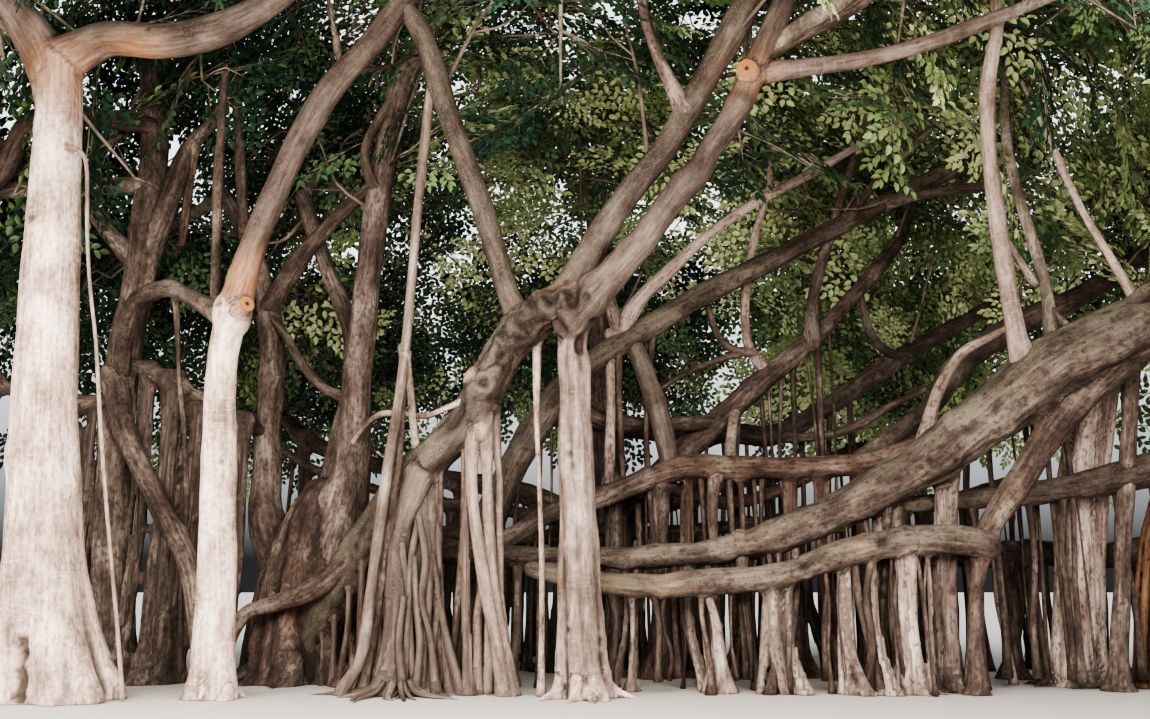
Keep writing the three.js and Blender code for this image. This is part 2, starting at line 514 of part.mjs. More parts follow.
// Twigs leave the hub evenly all round, turned by a seeded angle, and carry sprays along them.
function growMass(mass, own) {
  const random = seeded(101 + own * 37);
  const hub = hubs[own];
  const start = random() * 2 * Math.PI;
  const placed = [];
  const pieces = [limbGeometry({ route: mass.stem, sides: 3, steps: mass.stem.length > 2 ? 4 : 1 })];
  for (let n = 0; n < TWIGS_PER_MASS; n++) {
    const height = 1 - (2 * (n + 0.5)) / TWIGS_PER_MASS;
    const angle = start + n * GOLDEN_ANGLE + (random() - 0.5) * 0.5;
    const flat = Math.sqrt(1 - height * height);
    const ahead = new THREE.Vector3(flat * Math.cos(angle), flat * Math.sin(angle), height * TWIG_RISE);
    ahead.normalize();
    const length = reachFrom(hub, ahead, own) - SPRAY_LENGTH * 0.45;
    const end = hub.clone().addScaledVector(ahead, length);
    const twig = new THREE.Line3(hub, end);
    const kept = SPRAYS_ALONG_TWIG.flatMap((share, i) => {
      const root = twig.at(share, new THREE.Vector3());
      return firstThatFits(root, ahead, angle + i * GOLDEN_ANGLE, random, own, placed);
    });
    const open = keepsClear((p, nearest) => twig.closestPointToPoint(p, true, nearest), own);
    if (length < SHORTEST_TWIG || !open || kept.length === 0) continue;
    const twigRoute = [[...hub.toArray(), TWIG_GIRTH], [...end.toArray(), TWIG_TIP_GIRTH]];
    pieces.push(limbGeometry({ route: twigRoute, sides: 3, steps: 1 }));
    pieces.push(...kept);
  }
  const fused = pieces.map((piece) => solidOf(piece)).reduce((a, b) => a.add(b)).simplify(SMOOTHING);
  const reached = cutters.filter((cutter) => boxesMeet(cutter.boundingBox(), fused.boundingBox()));
  return wholeOf(reached.reduce((a, b) => a.subtract(b), fused));
}

function meshOf(name, solid, finish) {
  const geometry = geometryOf(solid);
  geometry.computeVertexNormals();
  const material = new THREE.MeshStandardMaterial({ ...FINISHES[finish], metalness: 0 });
  const mesh = new THREE.Mesh(geometry, material);
  mesh.name = name;
  return mesh;
}

const tree = new THREE.Group();
tree.name = "banyan_tree";
const wood = new THREE.Group();
const crown = new THREE.Group();
wood.name = "wood";
crown.name = "crown";
tree.add(wood, crown);
LIMBS.forEach((limb, i) => wood.add(meshOf(limb.name, limbSolids[i], limb.bark)));
MASSES.forEach((mass, i) => crown.add(meshOf(mass.name, growMass(mass, i), mass.tint)));

export default tree;
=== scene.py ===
import math

import bmesh
import bpy
import numpy as np
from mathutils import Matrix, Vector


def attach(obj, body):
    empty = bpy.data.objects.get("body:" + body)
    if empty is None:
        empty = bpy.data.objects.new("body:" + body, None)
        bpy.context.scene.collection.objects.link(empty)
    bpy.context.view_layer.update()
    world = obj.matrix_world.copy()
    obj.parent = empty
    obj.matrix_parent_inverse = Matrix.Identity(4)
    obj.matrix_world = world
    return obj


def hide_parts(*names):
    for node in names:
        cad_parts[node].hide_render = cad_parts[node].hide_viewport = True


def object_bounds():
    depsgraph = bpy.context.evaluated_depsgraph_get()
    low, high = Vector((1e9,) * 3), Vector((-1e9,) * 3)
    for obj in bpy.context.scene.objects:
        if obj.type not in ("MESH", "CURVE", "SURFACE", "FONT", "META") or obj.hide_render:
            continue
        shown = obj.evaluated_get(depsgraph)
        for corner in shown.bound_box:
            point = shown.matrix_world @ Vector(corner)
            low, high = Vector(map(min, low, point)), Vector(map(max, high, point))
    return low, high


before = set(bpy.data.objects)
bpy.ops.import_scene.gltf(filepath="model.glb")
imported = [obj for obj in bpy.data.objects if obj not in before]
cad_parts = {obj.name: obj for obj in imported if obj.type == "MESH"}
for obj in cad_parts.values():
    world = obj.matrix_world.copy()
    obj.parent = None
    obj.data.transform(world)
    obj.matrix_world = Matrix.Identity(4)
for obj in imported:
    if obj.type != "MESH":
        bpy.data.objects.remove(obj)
solid_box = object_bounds()
TREE = "root"


# The studio: a plain pale floor under the tree, a pale surround that is dim at the horizon and bright
# above it, and one broad warm lamp in front. The camera stands on the open side, at eye height, tilted
# up into the crown.
FLOOR_LEVEL = -0.004
FLOOR_CORNERS = ((-140, -140), (140, -140), (140, 160), (-140, 160))
floor_mesh = bpy.data.meshes.new("floor")
floor_mesh.from_pydata([(x, y, FLOOR_LEVEL) for x, y in FLOOR_CORNERS], [], [(0, 1, 2, 3)])
floor = bpy.data.objects.new("floor", floor_mesh)
bpy.context.scene.collection.objects.link(floor)
floor_finish = bpy.data.materials.new("pale_floor")
floor_finish.use_nodes = True
floor_shader = floor_finish.node_tree.nodes["Principled BSDF"]
floor_shader.inputs["Base Color"].default_value = (0.5, 0.47, 0.43, 1)
floor_shader.inputs["Roughness"].default_value = 0.9
floor_mesh.materials.append(floor_finish)

HEIGHTS_AND_STRENGTHS = (0.02, 0.28, 0.04, 1.3)
surround = bpy.data.worlds.new("pale_surround")
surround.use_nodes = True
surround_nodes, surround_links = surround.node_tree.nodes, surround.node_tree.links
surround_nodes["Background"].inputs["Color"].default_value = (0.95, 0.97, 1.0, 1)
direction = surround_nodes.new("ShaderNodeTexCoord")
height = surround_nodes.new("ShaderNodeSeparateXYZ")
brightness = surround_nodes.new("ShaderNodeMapRange")
for socket, value in zip(brightness.inputs[1:5], HEIGHTS_AND_STRENGTHS):
    socket.default_value = value
surround_links.new(direction.outputs["Generated"], height.inputs[0])
surround_links.new(height.outputs["Z"], brightness.inputs["Value"])
surround_links.new(brightness.outputs["Result"], surround_nodes["Background"].inputs["Strength"])
bpy.context.scene.world = surround

lamp_light = bpy.data.lights.new("front_lamp", "AREA")
lamp_light.shape = "RECTANGLE"
lamp_light.size = 20
lamp_light.size_y = 4
lamp_light.energy = 3000
lamp_light.color = (1.0, 0.93, 0.86)
lamp = bpy.data.objects.new("front_lamp", lamp_light)
lamp.location = (1.0, -12.0, 5.5)
lamp.rotation_euler = (math.radians(86), 0, math.radians(-4))
lamp.visible_camera = False
bpy.context.scene.collection.objects.link(lamp)
bpy.context.scene.view_settings.view_transform = "AgX"
bpy.context.scene.view_settings.look = "AgX - High Contrast"
bpy.context.scene.view_settings.exposure = 0.25

PICTURE_WIDTH = 1150
FOCAL_PIXELS = 1128
SENSOR_WIDTH = 36
EYE = (4.5, -19.5, 1.6)
TILT = 11.16
camera_lens = bpy.data.cameras.new("camera")
camera_lens.sensor_width = SENSOR_WIDTH
camera_lens.lens = SENSOR_WIDTH * FOCAL_PIXELS / PICTURE_WIDTH
camera_lens.clip_end = 400
camera = bpy.data.objects.new("camera", camera_lens)
camera.location = EYE
camera.rotation_euler = (math.radians(90 + TILT), 0, 0)
bpy.context.scene.collection.objects.link(camera)
bpy.context.scene.camera = camera


# The old trunk: the tree's first stem, low and very thick, a mass of fused roots that have grown down
# over it. Living bark, dark grey-brown in the shade. Its limbs leave it low down and rise through the
# crown.
def line_through(route, places):
    """Points and radii on the smooth line through a limb's stations, at places from 0 to 1."""
    stations = np.array(route, float)
    knots = np.vstack([2 * stations[0] - stations[1], stations, 2 * stations[-1] - stations[-2]])
    place = np.clip(places, 0, 1) * (len(stations) - 1)
    span = np.minimum(place.astype(int), len(stations) - 2)
    share = (place - span)[:, None]
    before, here, there, after = (knots[span + k] for k in range(4))
    pull, push = (there - before) / 2, (after - here) / 2
    bend = 3 * (there - here) - 2 * pull - push
    turn = 2 * (here - there) + pull + push
    line = here + pull * share + bend * share ** 2 + turn * share ** 3
    girths = here[:, 3] + (there - here)[:, 3] * share[:, 0]
    return line[:, :3], girths


def unit(vectors):
    """The same vectors, one metre long."""
    return vectors / np.maximum(np.linalg.norm(vectors, axis=-1, keepdims=True), 1e-9)


def frames_along(middles):
    """Ahead, side and across at each ring, turned as little as can be from one ring to the next."""
    ahead = unit(np.gradient(middles, axis=0))
    side = np.empty_like(ahead)
    last = np.array([1.0, 0.0, 0.0])
    for i, way in enumerate(ahead):
        last = last - way * last.dot(way)
        if np.linalg.norm(last) < 0.2:
            last = np.array([0.0, 1.0, 0.0]) - way * way[1]
        last = last / np.linalg.norm(last)
        side[i] = last
    return ahead, side, np.cross(ahead, side)


HASH_X, HASH_Y, HASH_Z = 374761393, 668265263, 1442695041
HASH_TURN = 1274126177
HASH_SPAN = 0xFFFFFFFF
NOISE_SHIFT = 17.31


def bark_noise(points, size, seed):
    """Smooth bumps from -1 to 1, about one size apart."""
    scaled = points / size + seed * NOISE_SHIFT
    cell = np.floor(scaled).astype(np.int64)
    share = scaled - cell
    share = share * share * (3 - 2 * share)
    total = np.zeros(len(points))
    for corner in range(8):
        step = np.array([corner & 1, corner >> 1 & 1, corner >> 2 & 1])
        weight = np.prod(np.where(step, share, 1 - share), axis=1)
        x, y, z = (cell + step).T.astype(np.uint64)
        mixed = (x * HASH_X + y * HASH_Y + z * HASH_Z) & HASH_SPAN
        mixed = ((mixed ^ (mixed >> np.uint64(13))) * HASH_TURN) & HASH_SPAN
        total += weight * ((mixed ^ (mixed >> np.uint64(16))) / float(HASH_SPAN))
    return 2 * total - 1


def tube_skin(middles, radii):
    """Corners and faces of a closed tube. Radii has a row for each ring and a value for each side."""
    _, side, across = frames_along(middles)
    rings, sides = radii.shape
    first, following = np.arange(sides), (np.arange(sides) + 1) % sides
    angles = first * 2 * math.pi / sides
    spokes = np.cos(angles)[None, :, None] * side[:, None] + np.sin(angles)[None, :, None] * across[:, None]
    corners = np.vstack([(middles[:, None] + radii[:, :, None] * spokes).reshape(-1, 3), middles[[0, -1]]])
    starts = np.arange(rings - 1)[:, None] * sides
    a, b = (starts + first).ravel(), (starts + following).ravel()
    foot, head, top = rings * sides, rings * sides + 1, (rings - 1) * sides
    faces = np.vstack([
        np.column_stack([a, b, b + sides]), np.column_stack([a, b + sides, a + sides]),
        np.column_stack([np.full(sides, foot), following, first]),
        np.column_stack([np.full(sides, head), top + first, top + following])])
    return corners, faces


BELOW_GROUND = 0.1
RING_STEP = 0.08
SIDE_STEP = 0.06
SIDES_ALLOWED = (6, 84)
THIN_LIMB = 0.08
GIRTH_WAVE, GIRTH_WANDER = 0.55, 0.05
SWAY_WAVE, SWAY_WANDER = 0.9, 0.1
RIB_DRIFT = 0.35
RIB_WAVE = 0.3
RIB_RISE = 0.5
FLUTE_BED = -0.9
END_REACH = 1.5
END_ROUNDING = np.array([0.4, 0.75, 0.95])


def route_length(route):
    """How long the straight steps between a limb's stations are in all."""
    return np.linalg.norm(np.diff(np.array(route)[:, :3], axis=0), axis=1).sum()


def distances_along(middles):
    """How far each point of a line is from its start."""
    return np.concatenate([[0], np.linalg.norm(np.diff(middles, axis=0), axis=1).cumsum()])


def rounded_ends(middles, radii):
    """The same limb with a dome over each end."""
    shrink = np.sqrt(1 - END_ROUNDING ** 2)[:, None]
    for _ in range(2):
        ahead = unit(middles[-1] - middles[-2])
        middles = np.vstack([middles, middles[-1] + ahead * radii[-1].mean() * END_ROUNDING[:, None]])
        radii = np.vstack([radii, radii[-1] * shrink])
        middles, radii = middles[::-1], radii[::-1]
    return middles, radii


def limb_skin(limb):
    """A tapering limb, with ribs along it, toes at the ground and a collar where it leaves another limb."""
    ribs, depth, toes = limb.get("ribs", 5), limb.get("depth", 0.05), limb.get("toes", 0.0)
    count = max(int(route_length(limb["route"]) / limb.get("ring_step", RING_STEP)), 5)
    middles, girths = line_through(limb["route"], np.linspace(0, 1, count + 1))
    above = middles[:, 2] > -BELOW_GROUND
    middles, girths = middles[above], girths[above]
    seed, gnarl = limb.get("seed", 1), limb.get("gnarl", 1.0)
    girths = girths * (1 + GIRTH_WANDER * gnarl * bark_noise(middles, GIRTH_WAVE, seed))
    sway = [bark_noise(middles, SWAY_WAVE, seed + k) for k in (3, 5, 7)]
    middles = middles + SWAY_WANDER * gnarl * girths[:, None] * np.column_stack(sway)
    sides = int(np.clip(2 * math.pi * girths.max() / limb.get("side_step", SIDE_STEP), *SIDES_ALLOWED))
    along = distances_along(middles)[:, None]
    angles = np.arange(sides)[None] * 2 * math.pi / sides
    near_ground = np.exp(-np.maximum(middles[:, 2:], 0) / limb.get("flare_height", 0.45))
    draw = np.random.default_rng(seed)
    relief = np.full((len(middles), sides), -2.0)
    for n in range(ribs):
        drift = RIB_DRIFT * np.sin(along * draw.uniform(0.3, 0.8) + draw.uniform(0, 6.3))
        middle = 2 * math.pi * (n + draw.uniform(-0.3, 0.3)) / ribs + drift
        gap = (angles - middle + math.pi) % (2 * math.pi) - math.pi
        width = draw.uniform(0.7, 1.3) * math.pi / ribs
        strength = RIB_WAVE * np.sin(along * draw.uniform(0.5, 1.4) + draw.uniform(0, 6.3))
        relief = np.maximum(relief, strength + RIB_RISE - (gap / width) ** 2)
    relief = np.maximum(relief, FLUTE_BED)
    relief -= relief.mean(axis=1, keepdims=True)
    swell = 1 + limb.get("flare", 0.0) * near_ground
    swell = swell + limb.get("collar", 0.0) * np.exp(-along / (END_REACH * girths[0]))
    swell = swell + limb.get("head", 0.0) * np.exp((along - along[-1]) / (END_REACH * girths[-1]))
    radii = girths[:, None] * swell * (1 + (depth + toes * near_ground) * relief)
    flat_ends = girths.max() < THIN_LIMB or limb.get("sawn")
    return tube_skin(middles, radii) if flat_ends else tube_skin(*rounded_ends(middles, radii))


STRAND_STATIONS = 9


def strand_limbs(route, count, top_spread, foot_spread, flatten, girth, seed, splay=0.7, **looks):
    """Roots that run down side by side round one line, close at the head and apart at the foot."""
    draw = np.random.default_rng(seed)
    share = np.linspace(0, 1, STRAND_STATIONS)
    stations, girths = line_through(route, share)
    strands = []
    for n in range(count):
        angle = 2 * math.pi * (n + draw.uniform(-0.3, 0.3)) / count
        out = math.sqrt(draw.uniform(0.25, 1)) * (1 + 0.12 * np.sin(share * 7 + draw.uniform(0, 6.3)))
        turned = angle + 0.25 * np.sin(share * draw.uniform(2, 5) + draw.uniform(0, 6.3))
        spread = (foot_spread + (top_spread - foot_spread) * share ** splay) * out
        middles = stations + np.column_stack([
            spread * np.cos(turned), flatten * spread * np.sin(turned), np.zeros(STRAND_STATIONS)])
        radii = girths * girth * draw.uniform(0.7, 1.25) * (1 + 0.3 * np.exp(-share * 8))
        strands.append(dict(route=np.column_stack([middles, radii]), ribs=3, seed=seed * 100 + n, **looks))
    return strands


def foot_roots(x, y, count, inner, outer, girth, seed, rise=0.9, **looks):
    """Roots that leave the foot of a trunk on every side and run out into the ground."""
    draw = np.random.default_rng(seed)
    roots = []
    for n in range(count):
        angle = 2 * math.pi * (n + draw.uniform(-0.35, 0.35)) / count
        reach = inner + (outer - inner) * draw.uniform(0.35, 1)
        thick = girth * draw.uniform(0.65, 1.25)
        bend = draw.uniform(-0.4, 0.4)
        stations = [(0.55 * inner, 0, rise * inner, 1.1), (0.9 * inner, 0, 0.35 * rise * inner, 1),
                    ((inner + reach) / 2, 0.4 * bend, 0.35 * thick, 0.8), (reach, bend, -0.5 * thick, 0.5)]
        route = [(x + far * math.cos(angle + turn), y + far * math.sin(angle + turn), z, share * thick)
                 for far, turn, z, share in stations]
        roots.append(dict(route=route, ribs=2, seed=seed * 90 + n, **looks))
    return roots


def joined(skins):
    """Several skins as one: corners and faces."""
    starts = np.cumsum([0] + [len(corners) for corners, _ in skins[:-1]])
    corners = np.vstack([skin[0] for skin in skins])
    return corners, np.vstack([faces + start for (_, faces), start in zip(skins, starts)])


def mesh_from(name, corners, faces):
    """A mesh of triangles from arrays."""
    mesh = bpy.data.meshes.new(name)
    mesh.vertices.add(len(corners))
    mesh.vertices.foreach_set("co", np.ascontiguousarray(corners, np.float32).ravel())
    mesh.loops.add(3 * len(faces))
    mesh.loops.foreach_set("vertex_index", np.ascontiguousarray(faces, np.int32).ravel())
    mesh.polygons.add(len(faces))
    mesh.polygons.foreach_set("loop_start", np.arange(len(faces), dtype=np.int32) * 3)
    mesh.update(calc_edges=True)
    return mesh


def corners_of(mesh, what="co"):
    """A mesh's corners, or their normals, as an array."""
    values = np.empty(3 * len(mesh.vertices), np.float32)
    mesh.vertices.foreach_get(what, values)
    return values.reshape(-1, 3).astype(float)


def neighbour_means(mesh, corners):
    """The mean place of the corners that share an edge with each corner."""
    ends = np.empty(2 * len(mesh.edges), np.int32)
    mesh.edges.foreach_get("vertices", ends)
    a, b = ends.reshape(-1, 2).T
    count = np.bincount(a, minlength=len(corners)) + np.bincount(b, minlength=len(corners))
    sums = [np.bincount(a, corners[b, k], len(corners)) + np.bincount(b, corners[a, k], len(corners))
            for k in range(corners.shape[1])]
    return np.column_stack(sums) / np.maximum(count, 1)[:, None]


EASING = 0.5


def fuse(skins, voxel):
    """Skins that run into each other, grown into one skin and eased where they meet."""
    mesh = mesh_from("fused", *joined(skins))
    lump = bpy.data.objects.new("fused", mesh)
    bpy.context.scene.collection.objects.link(lump)
    grower = lump.modifiers.new("fuse", "REMESH")
    grower.mode = "VOXEL"
    grower.voxel_size = voxel
    fused = bpy.data.meshes.new_from_object(lump.evaluated_get(bpy.context.evaluated_depsgraph_get()))
    bpy.data.objects.remove(lump)
    bpy.data.meshes.remove(mesh)
    corners = corners_of(fused)
    corners += EASING * (neighbour_means(fused, corners) - corners)
    fused.vertices.foreach_set("co", corners.astype(np.float32).ravel())
    fused.update()
    return fused


def cut_at_ground(meshes, name):
    """Several meshes as one, cut flat and closed at ground level."""
    shape = bmesh.new()
    for mesh in meshes:
        shape.from_mesh(mesh)
        bpy.data.meshes.remove(mesh)
    if min(corner.co.z for corner in shape.verts) < 0:
        parts = shape.verts[:] + shape.edges[:] + shape.faces[:]
        bmesh.ops.bisect_plane(shape, geom=parts, plane_co=(0, 0, 0), plane_no=(0, 0, 1), clear_inner=True)
        rims = [edge for edge in shape.edges if edge.is_boundary]
        bmesh.ops.holes_fill(shape, edges=rims, sides=0)
    whole = bpy.data.meshes.new(name)
    shape.to_mesh(whole)
    shape.free()
    return whole


limb_lines = []
BEAD_STEP = 0.14
GRAIN_APART = 1.7
PLACE, GIRTH, AHEAD, SIDE, ACROSS = slice(0, 3), 3, slice(4, 7), slice(7, 10), slice(10, 13)
ALONG, MOSS_LOOK, GNARL, GRAIN_START, SHADE_LOOKS = 13, 14, 15, 16, slice(17, 20)


def samples_along(limbs):
    """Beads along limbs, a row for each: where it lies, its frame, and the looks of its limb."""
    rows = []
    for number, limb in enumerate(limbs):
        count = max(int(route_length(limb["route"]) / BEAD_STEP), 2 * len(limb["route"]))
        middles, girths = line_through(limb["route"], np.linspace(0, 1, count))
        looks = [limb.get("moss", 0.0), limb.get("gnarl", 1.0), GRAIN_APART * number]
        looks += [limb.get("pale", 0.0), limb.get("dark", 0.0), limb.get("red", 0.0)]
        rows.append(np.column_stack([
            middles, girths, *frames_along(middles), distances_along(middles), np.tile(looks, (count, 1))]))
    return np.vstack(rows)


POINTS_AT_ONCE = 8192


def nearest_bead(points, beads):
    """For each point, the bead whose bark it lies on."""
    found = np.empty(len(points), int)
    middles, girths = beads[:, PLACE].astype(np.float32), beads[:, GIRTH].astype(np.float32)
    squares = (middles ** 2).sum(axis=1)
    for start in range(0, len(points), POINTS_AT_ONCE):
        some = points[start:start + POINTS_AT_ONCE].astype(np.float32)
        apart = (some ** 2).sum(axis=1)[:, None] + squares - 2 * some @ middles.T
        found[start:start + POINTS_AT_ONCE] = (np.sqrt(np.maximum(apart, 0)) - girths).argmin(axis=1)
    return found


def add_marks(mesh, name, values):
    """Keeps a value for each corner, for the finish to read."""
    layer = mesh.attributes.new(name, "FLOAT_VECTOR", "POINT")
    layer.data.foreach_set("vector", np.ascontiguousarray(values, np.float32).ravel())


KNOTS_PER_METRE = 0.9
HOLLOW_SHARE = 0.4


def scattered_knots(limbs, seed):
    """Small knots and old scars, strewn along limbs: places, reach, and rise or, for a hollow, fall."""
    draw = np.random.default_rng(seed)
    knots = []
    for limb in limbs:
        route = np.array(limb["route"], float)
        for _ in range(int(route_length(route) * KNOTS_PER_METRE * limb.get("gnarl", 1.0))):
            middle, girth = line_through(route, np.array([draw.uniform(0.03, 0.97)]))
            way = unit(draw.normal(0, 1, 3) + (0, -0.8, 0.2))
            reach = girth[0] * draw.uniform(0.25, 0.5)
            x, y, z = middle[0] + girth[0] * way
            knots.append((x, y, z, reach, 0.4 * reach))
            if draw.uniform() < HOLLOW_SHARE:
                knots.append((x, y, z, 0.45 * reach, -0.5 * reach))
    return knots


SHADE_ROUNDS = 16
HOLLOW_ROUNDS = 2
BUMPS = ((0.42, 0.022), (0.17, 0.012), (0.09, 0.006))
BUMP_STRETCH = (1, 1, 0.45)
FULL_BUMP_GIRTH = 0.2
BUMP_SHARES = (0.2, 1.2)
FADE_HEIGHT = 0.05
CREVICE_DEPTH = 0.05


def nearness(corners, place, reach):
    """How near each corner is to a place: 1 there, fading to 0 past its reach."""
    return np.exp(-((corners - place) ** 2).sum(axis=1) / reach ** 2)


def grow_bark(name, finish, limbs, voxel, loose=(), knots=(), stains_and_sunlit_patches=(), seed=1):
    """Limbs with the bark's relief: fused, knotted, and marked for moss, stains (painted sunlit patches on
    mossy bark) and painted shade in crevices and hollows.
    """
    meshes = [fuse([limb_skin(limb) for limb in limbs], voxel)] if limbs else []
    if loose:
        meshes.append(mesh_from("loose", *joined([limb_skin(limb) for limb in loose])))
    mesh = cut_at_ground(meshes, name)
    corners, normals = corners_of(mesh), corners_of(mesh, "normal")
    beads = samples_along([*limbs, *loose])
    bead = beads[nearest_bead(corners, beads)]
    away = corners - bead[:, PLACE]
    grain = np.column_stack([
        (away * bead[:, SIDE]).sum(axis=1), (away * bead[:, ACROSS]).sum(axis=1),
        bead[:, ALONG] + (away * bead[:, AHEAD]).sum(axis=1) + bead[:, GRAIN_START]])
    lift = np.zeros(len(corners))
    for size, height in BUMPS:
        lift += height * bark_noise(grain * BUMP_STRETCH, size, seed)
    lift *= np.clip(bead[:, GIRTH] / FULL_BUMP_GIRTH, *BUMP_SHARES) * bead[:, GNARL]
    dark = np.zeros(len(corners))
    for x, y, z, reach, rise in (*knots, *scattered_knots(limbs, seed)):
        middle = corners[((corners - (x, y, z)) ** 2).sum(axis=1).argmin()]
        near = nearness(corners, middle, reach)
        lift += rise * near
        # Painted shade: each hollow is marked dark for the finish.
        dark += near * (rise < 0)
    lift *= np.clip(corners[:, 2] / FADE_HEIGHT, 0, 1)
    corners += normals * lift[:, None]
    corners[:, 2] = np.maximum(corners[:, 2], 0)
    mesh.vertices.foreach_set("co", corners.astype(np.float32).ravel())
    mesh.polygons.foreach_set("use_smooth", np.ones(len(mesh.polygons), bool))
    mesh.update()

    normals = corners_of(mesh, "normal")
    # Painted shade: how far each corner lies sunk below its neighbours, so that grooves, crevices and
    # creases come out darker.
    hollow = ((neighbour_means(mesh, corners) - corners) * normals).sum(axis=1)[:, None]
    for _ in range(HOLLOW_ROUNDS):
        hollow = neighbour_means(mesh, hollow)
    crevice_shade = np.clip(hollow[:, 0] / (CREVICE_DEPTH * voxel), 0, 1)
    stain_and_sun_mask = np.zeros(len(corners))
    # Stain patches, strongest on the undersides. On mossy bark the stain tones are a sunlit tan, so there
    # they are painted sunlit patches.
    for x, y, z, reach in stains_and_sunlit_patches:
        shaded_side = 0.75 - 0.25 * normals[:, 2]
        stain_and_sun_mask = np.maximum(stain_and_sun_mask, nearness(corners, (x, y, z), reach) * shaded_side)
    moss = bead[:, MOSS_LOOK] * (0.72 + 0.4 * normals[:, 2] - 0.2 * normals[:, 0])
    soft = np.column_stack([moss, bead[:, SHADE_LOOKS]])
    for _ in range(SHADE_ROUNDS):
        soft = neighbour_means(mesh, soft)
    add_marks(mesh, "grain", grain + seed)
    # The marks: stains and painted sunlit patches, moss, and painted shade in crevices and hollows.
    add_marks(mesh, "marks", np.column_stack([stain_and_sun_mask, soft[:, 0], np.clip(crevice_shade + dark, 0, 1)]))
    add_marks(mesh, "shades", soft[:, 1:])
    mesh.materials.append(finish)
    piece = bpy.data.objects.new(name, mesh)
    bpy.context.scene.collection.objects.link(piece)
    limb_lines.append(beads[:, :4])
    return piece


LICHEN = ((0.17, 0.155, 0.13), (0.27, 0.245, 0.205))
TONE_STOPS = (0.39, 0.47, 0.54, 0.61)
# The pale, dark and red shares turn a limb's bark to other tones. Besides the bark's own range, the pale
# tones partly paint sunlight on limbs that catch it, and the dark tones partly paint the crown's shade on
# limbs up in it; the red is the bark's own.
PALE_TONES = ((0.20, 0.135, 0.105), (0.40, 0.30, 0.25), (0.60, 0.475, 0.41), (0.78, 0.66, 0.59))
DARK_TONES = ((0.024, 0.016, 0.013), (0.052, 0.037, 0.03), (0.09, 0.068, 0.055), (0.175, 0.14, 0.118))
RED_TONES = ((0.035, 0.019, 0.015), (0.082, 0.045, 0.034), (0.145, 0.085, 0.065), (0.26, 0.18, 0.145))
NOTHING, ALL = (0, 0, 0), (1, 1, 1)


def new_finish(name):
    """A fresh finish with its nodes, links and shader."""
    finish = bpy.data.materials.new(name)
    finish.use_nodes = True
    nodes = finish.node_tree.nodes
    return finish, nodes, finish.node_tree.links, nodes["Principled BSDF"]


def tone_ramp(nodes, links, value, stops):
    """A colour that runs through the stops as the value rises."""
    tones = nodes.new("ShaderNodeValToRGB")
    band = tones.color_ramp.elements
    while len(band) < len(stops):
        band.new(0.5)
    for element, (place, tone) in zip(band, stops):
        element.position = place
        element.color = (*tone, 1)
    links.new(value, tones.inputs[0])
    return tones.outputs["Color"]


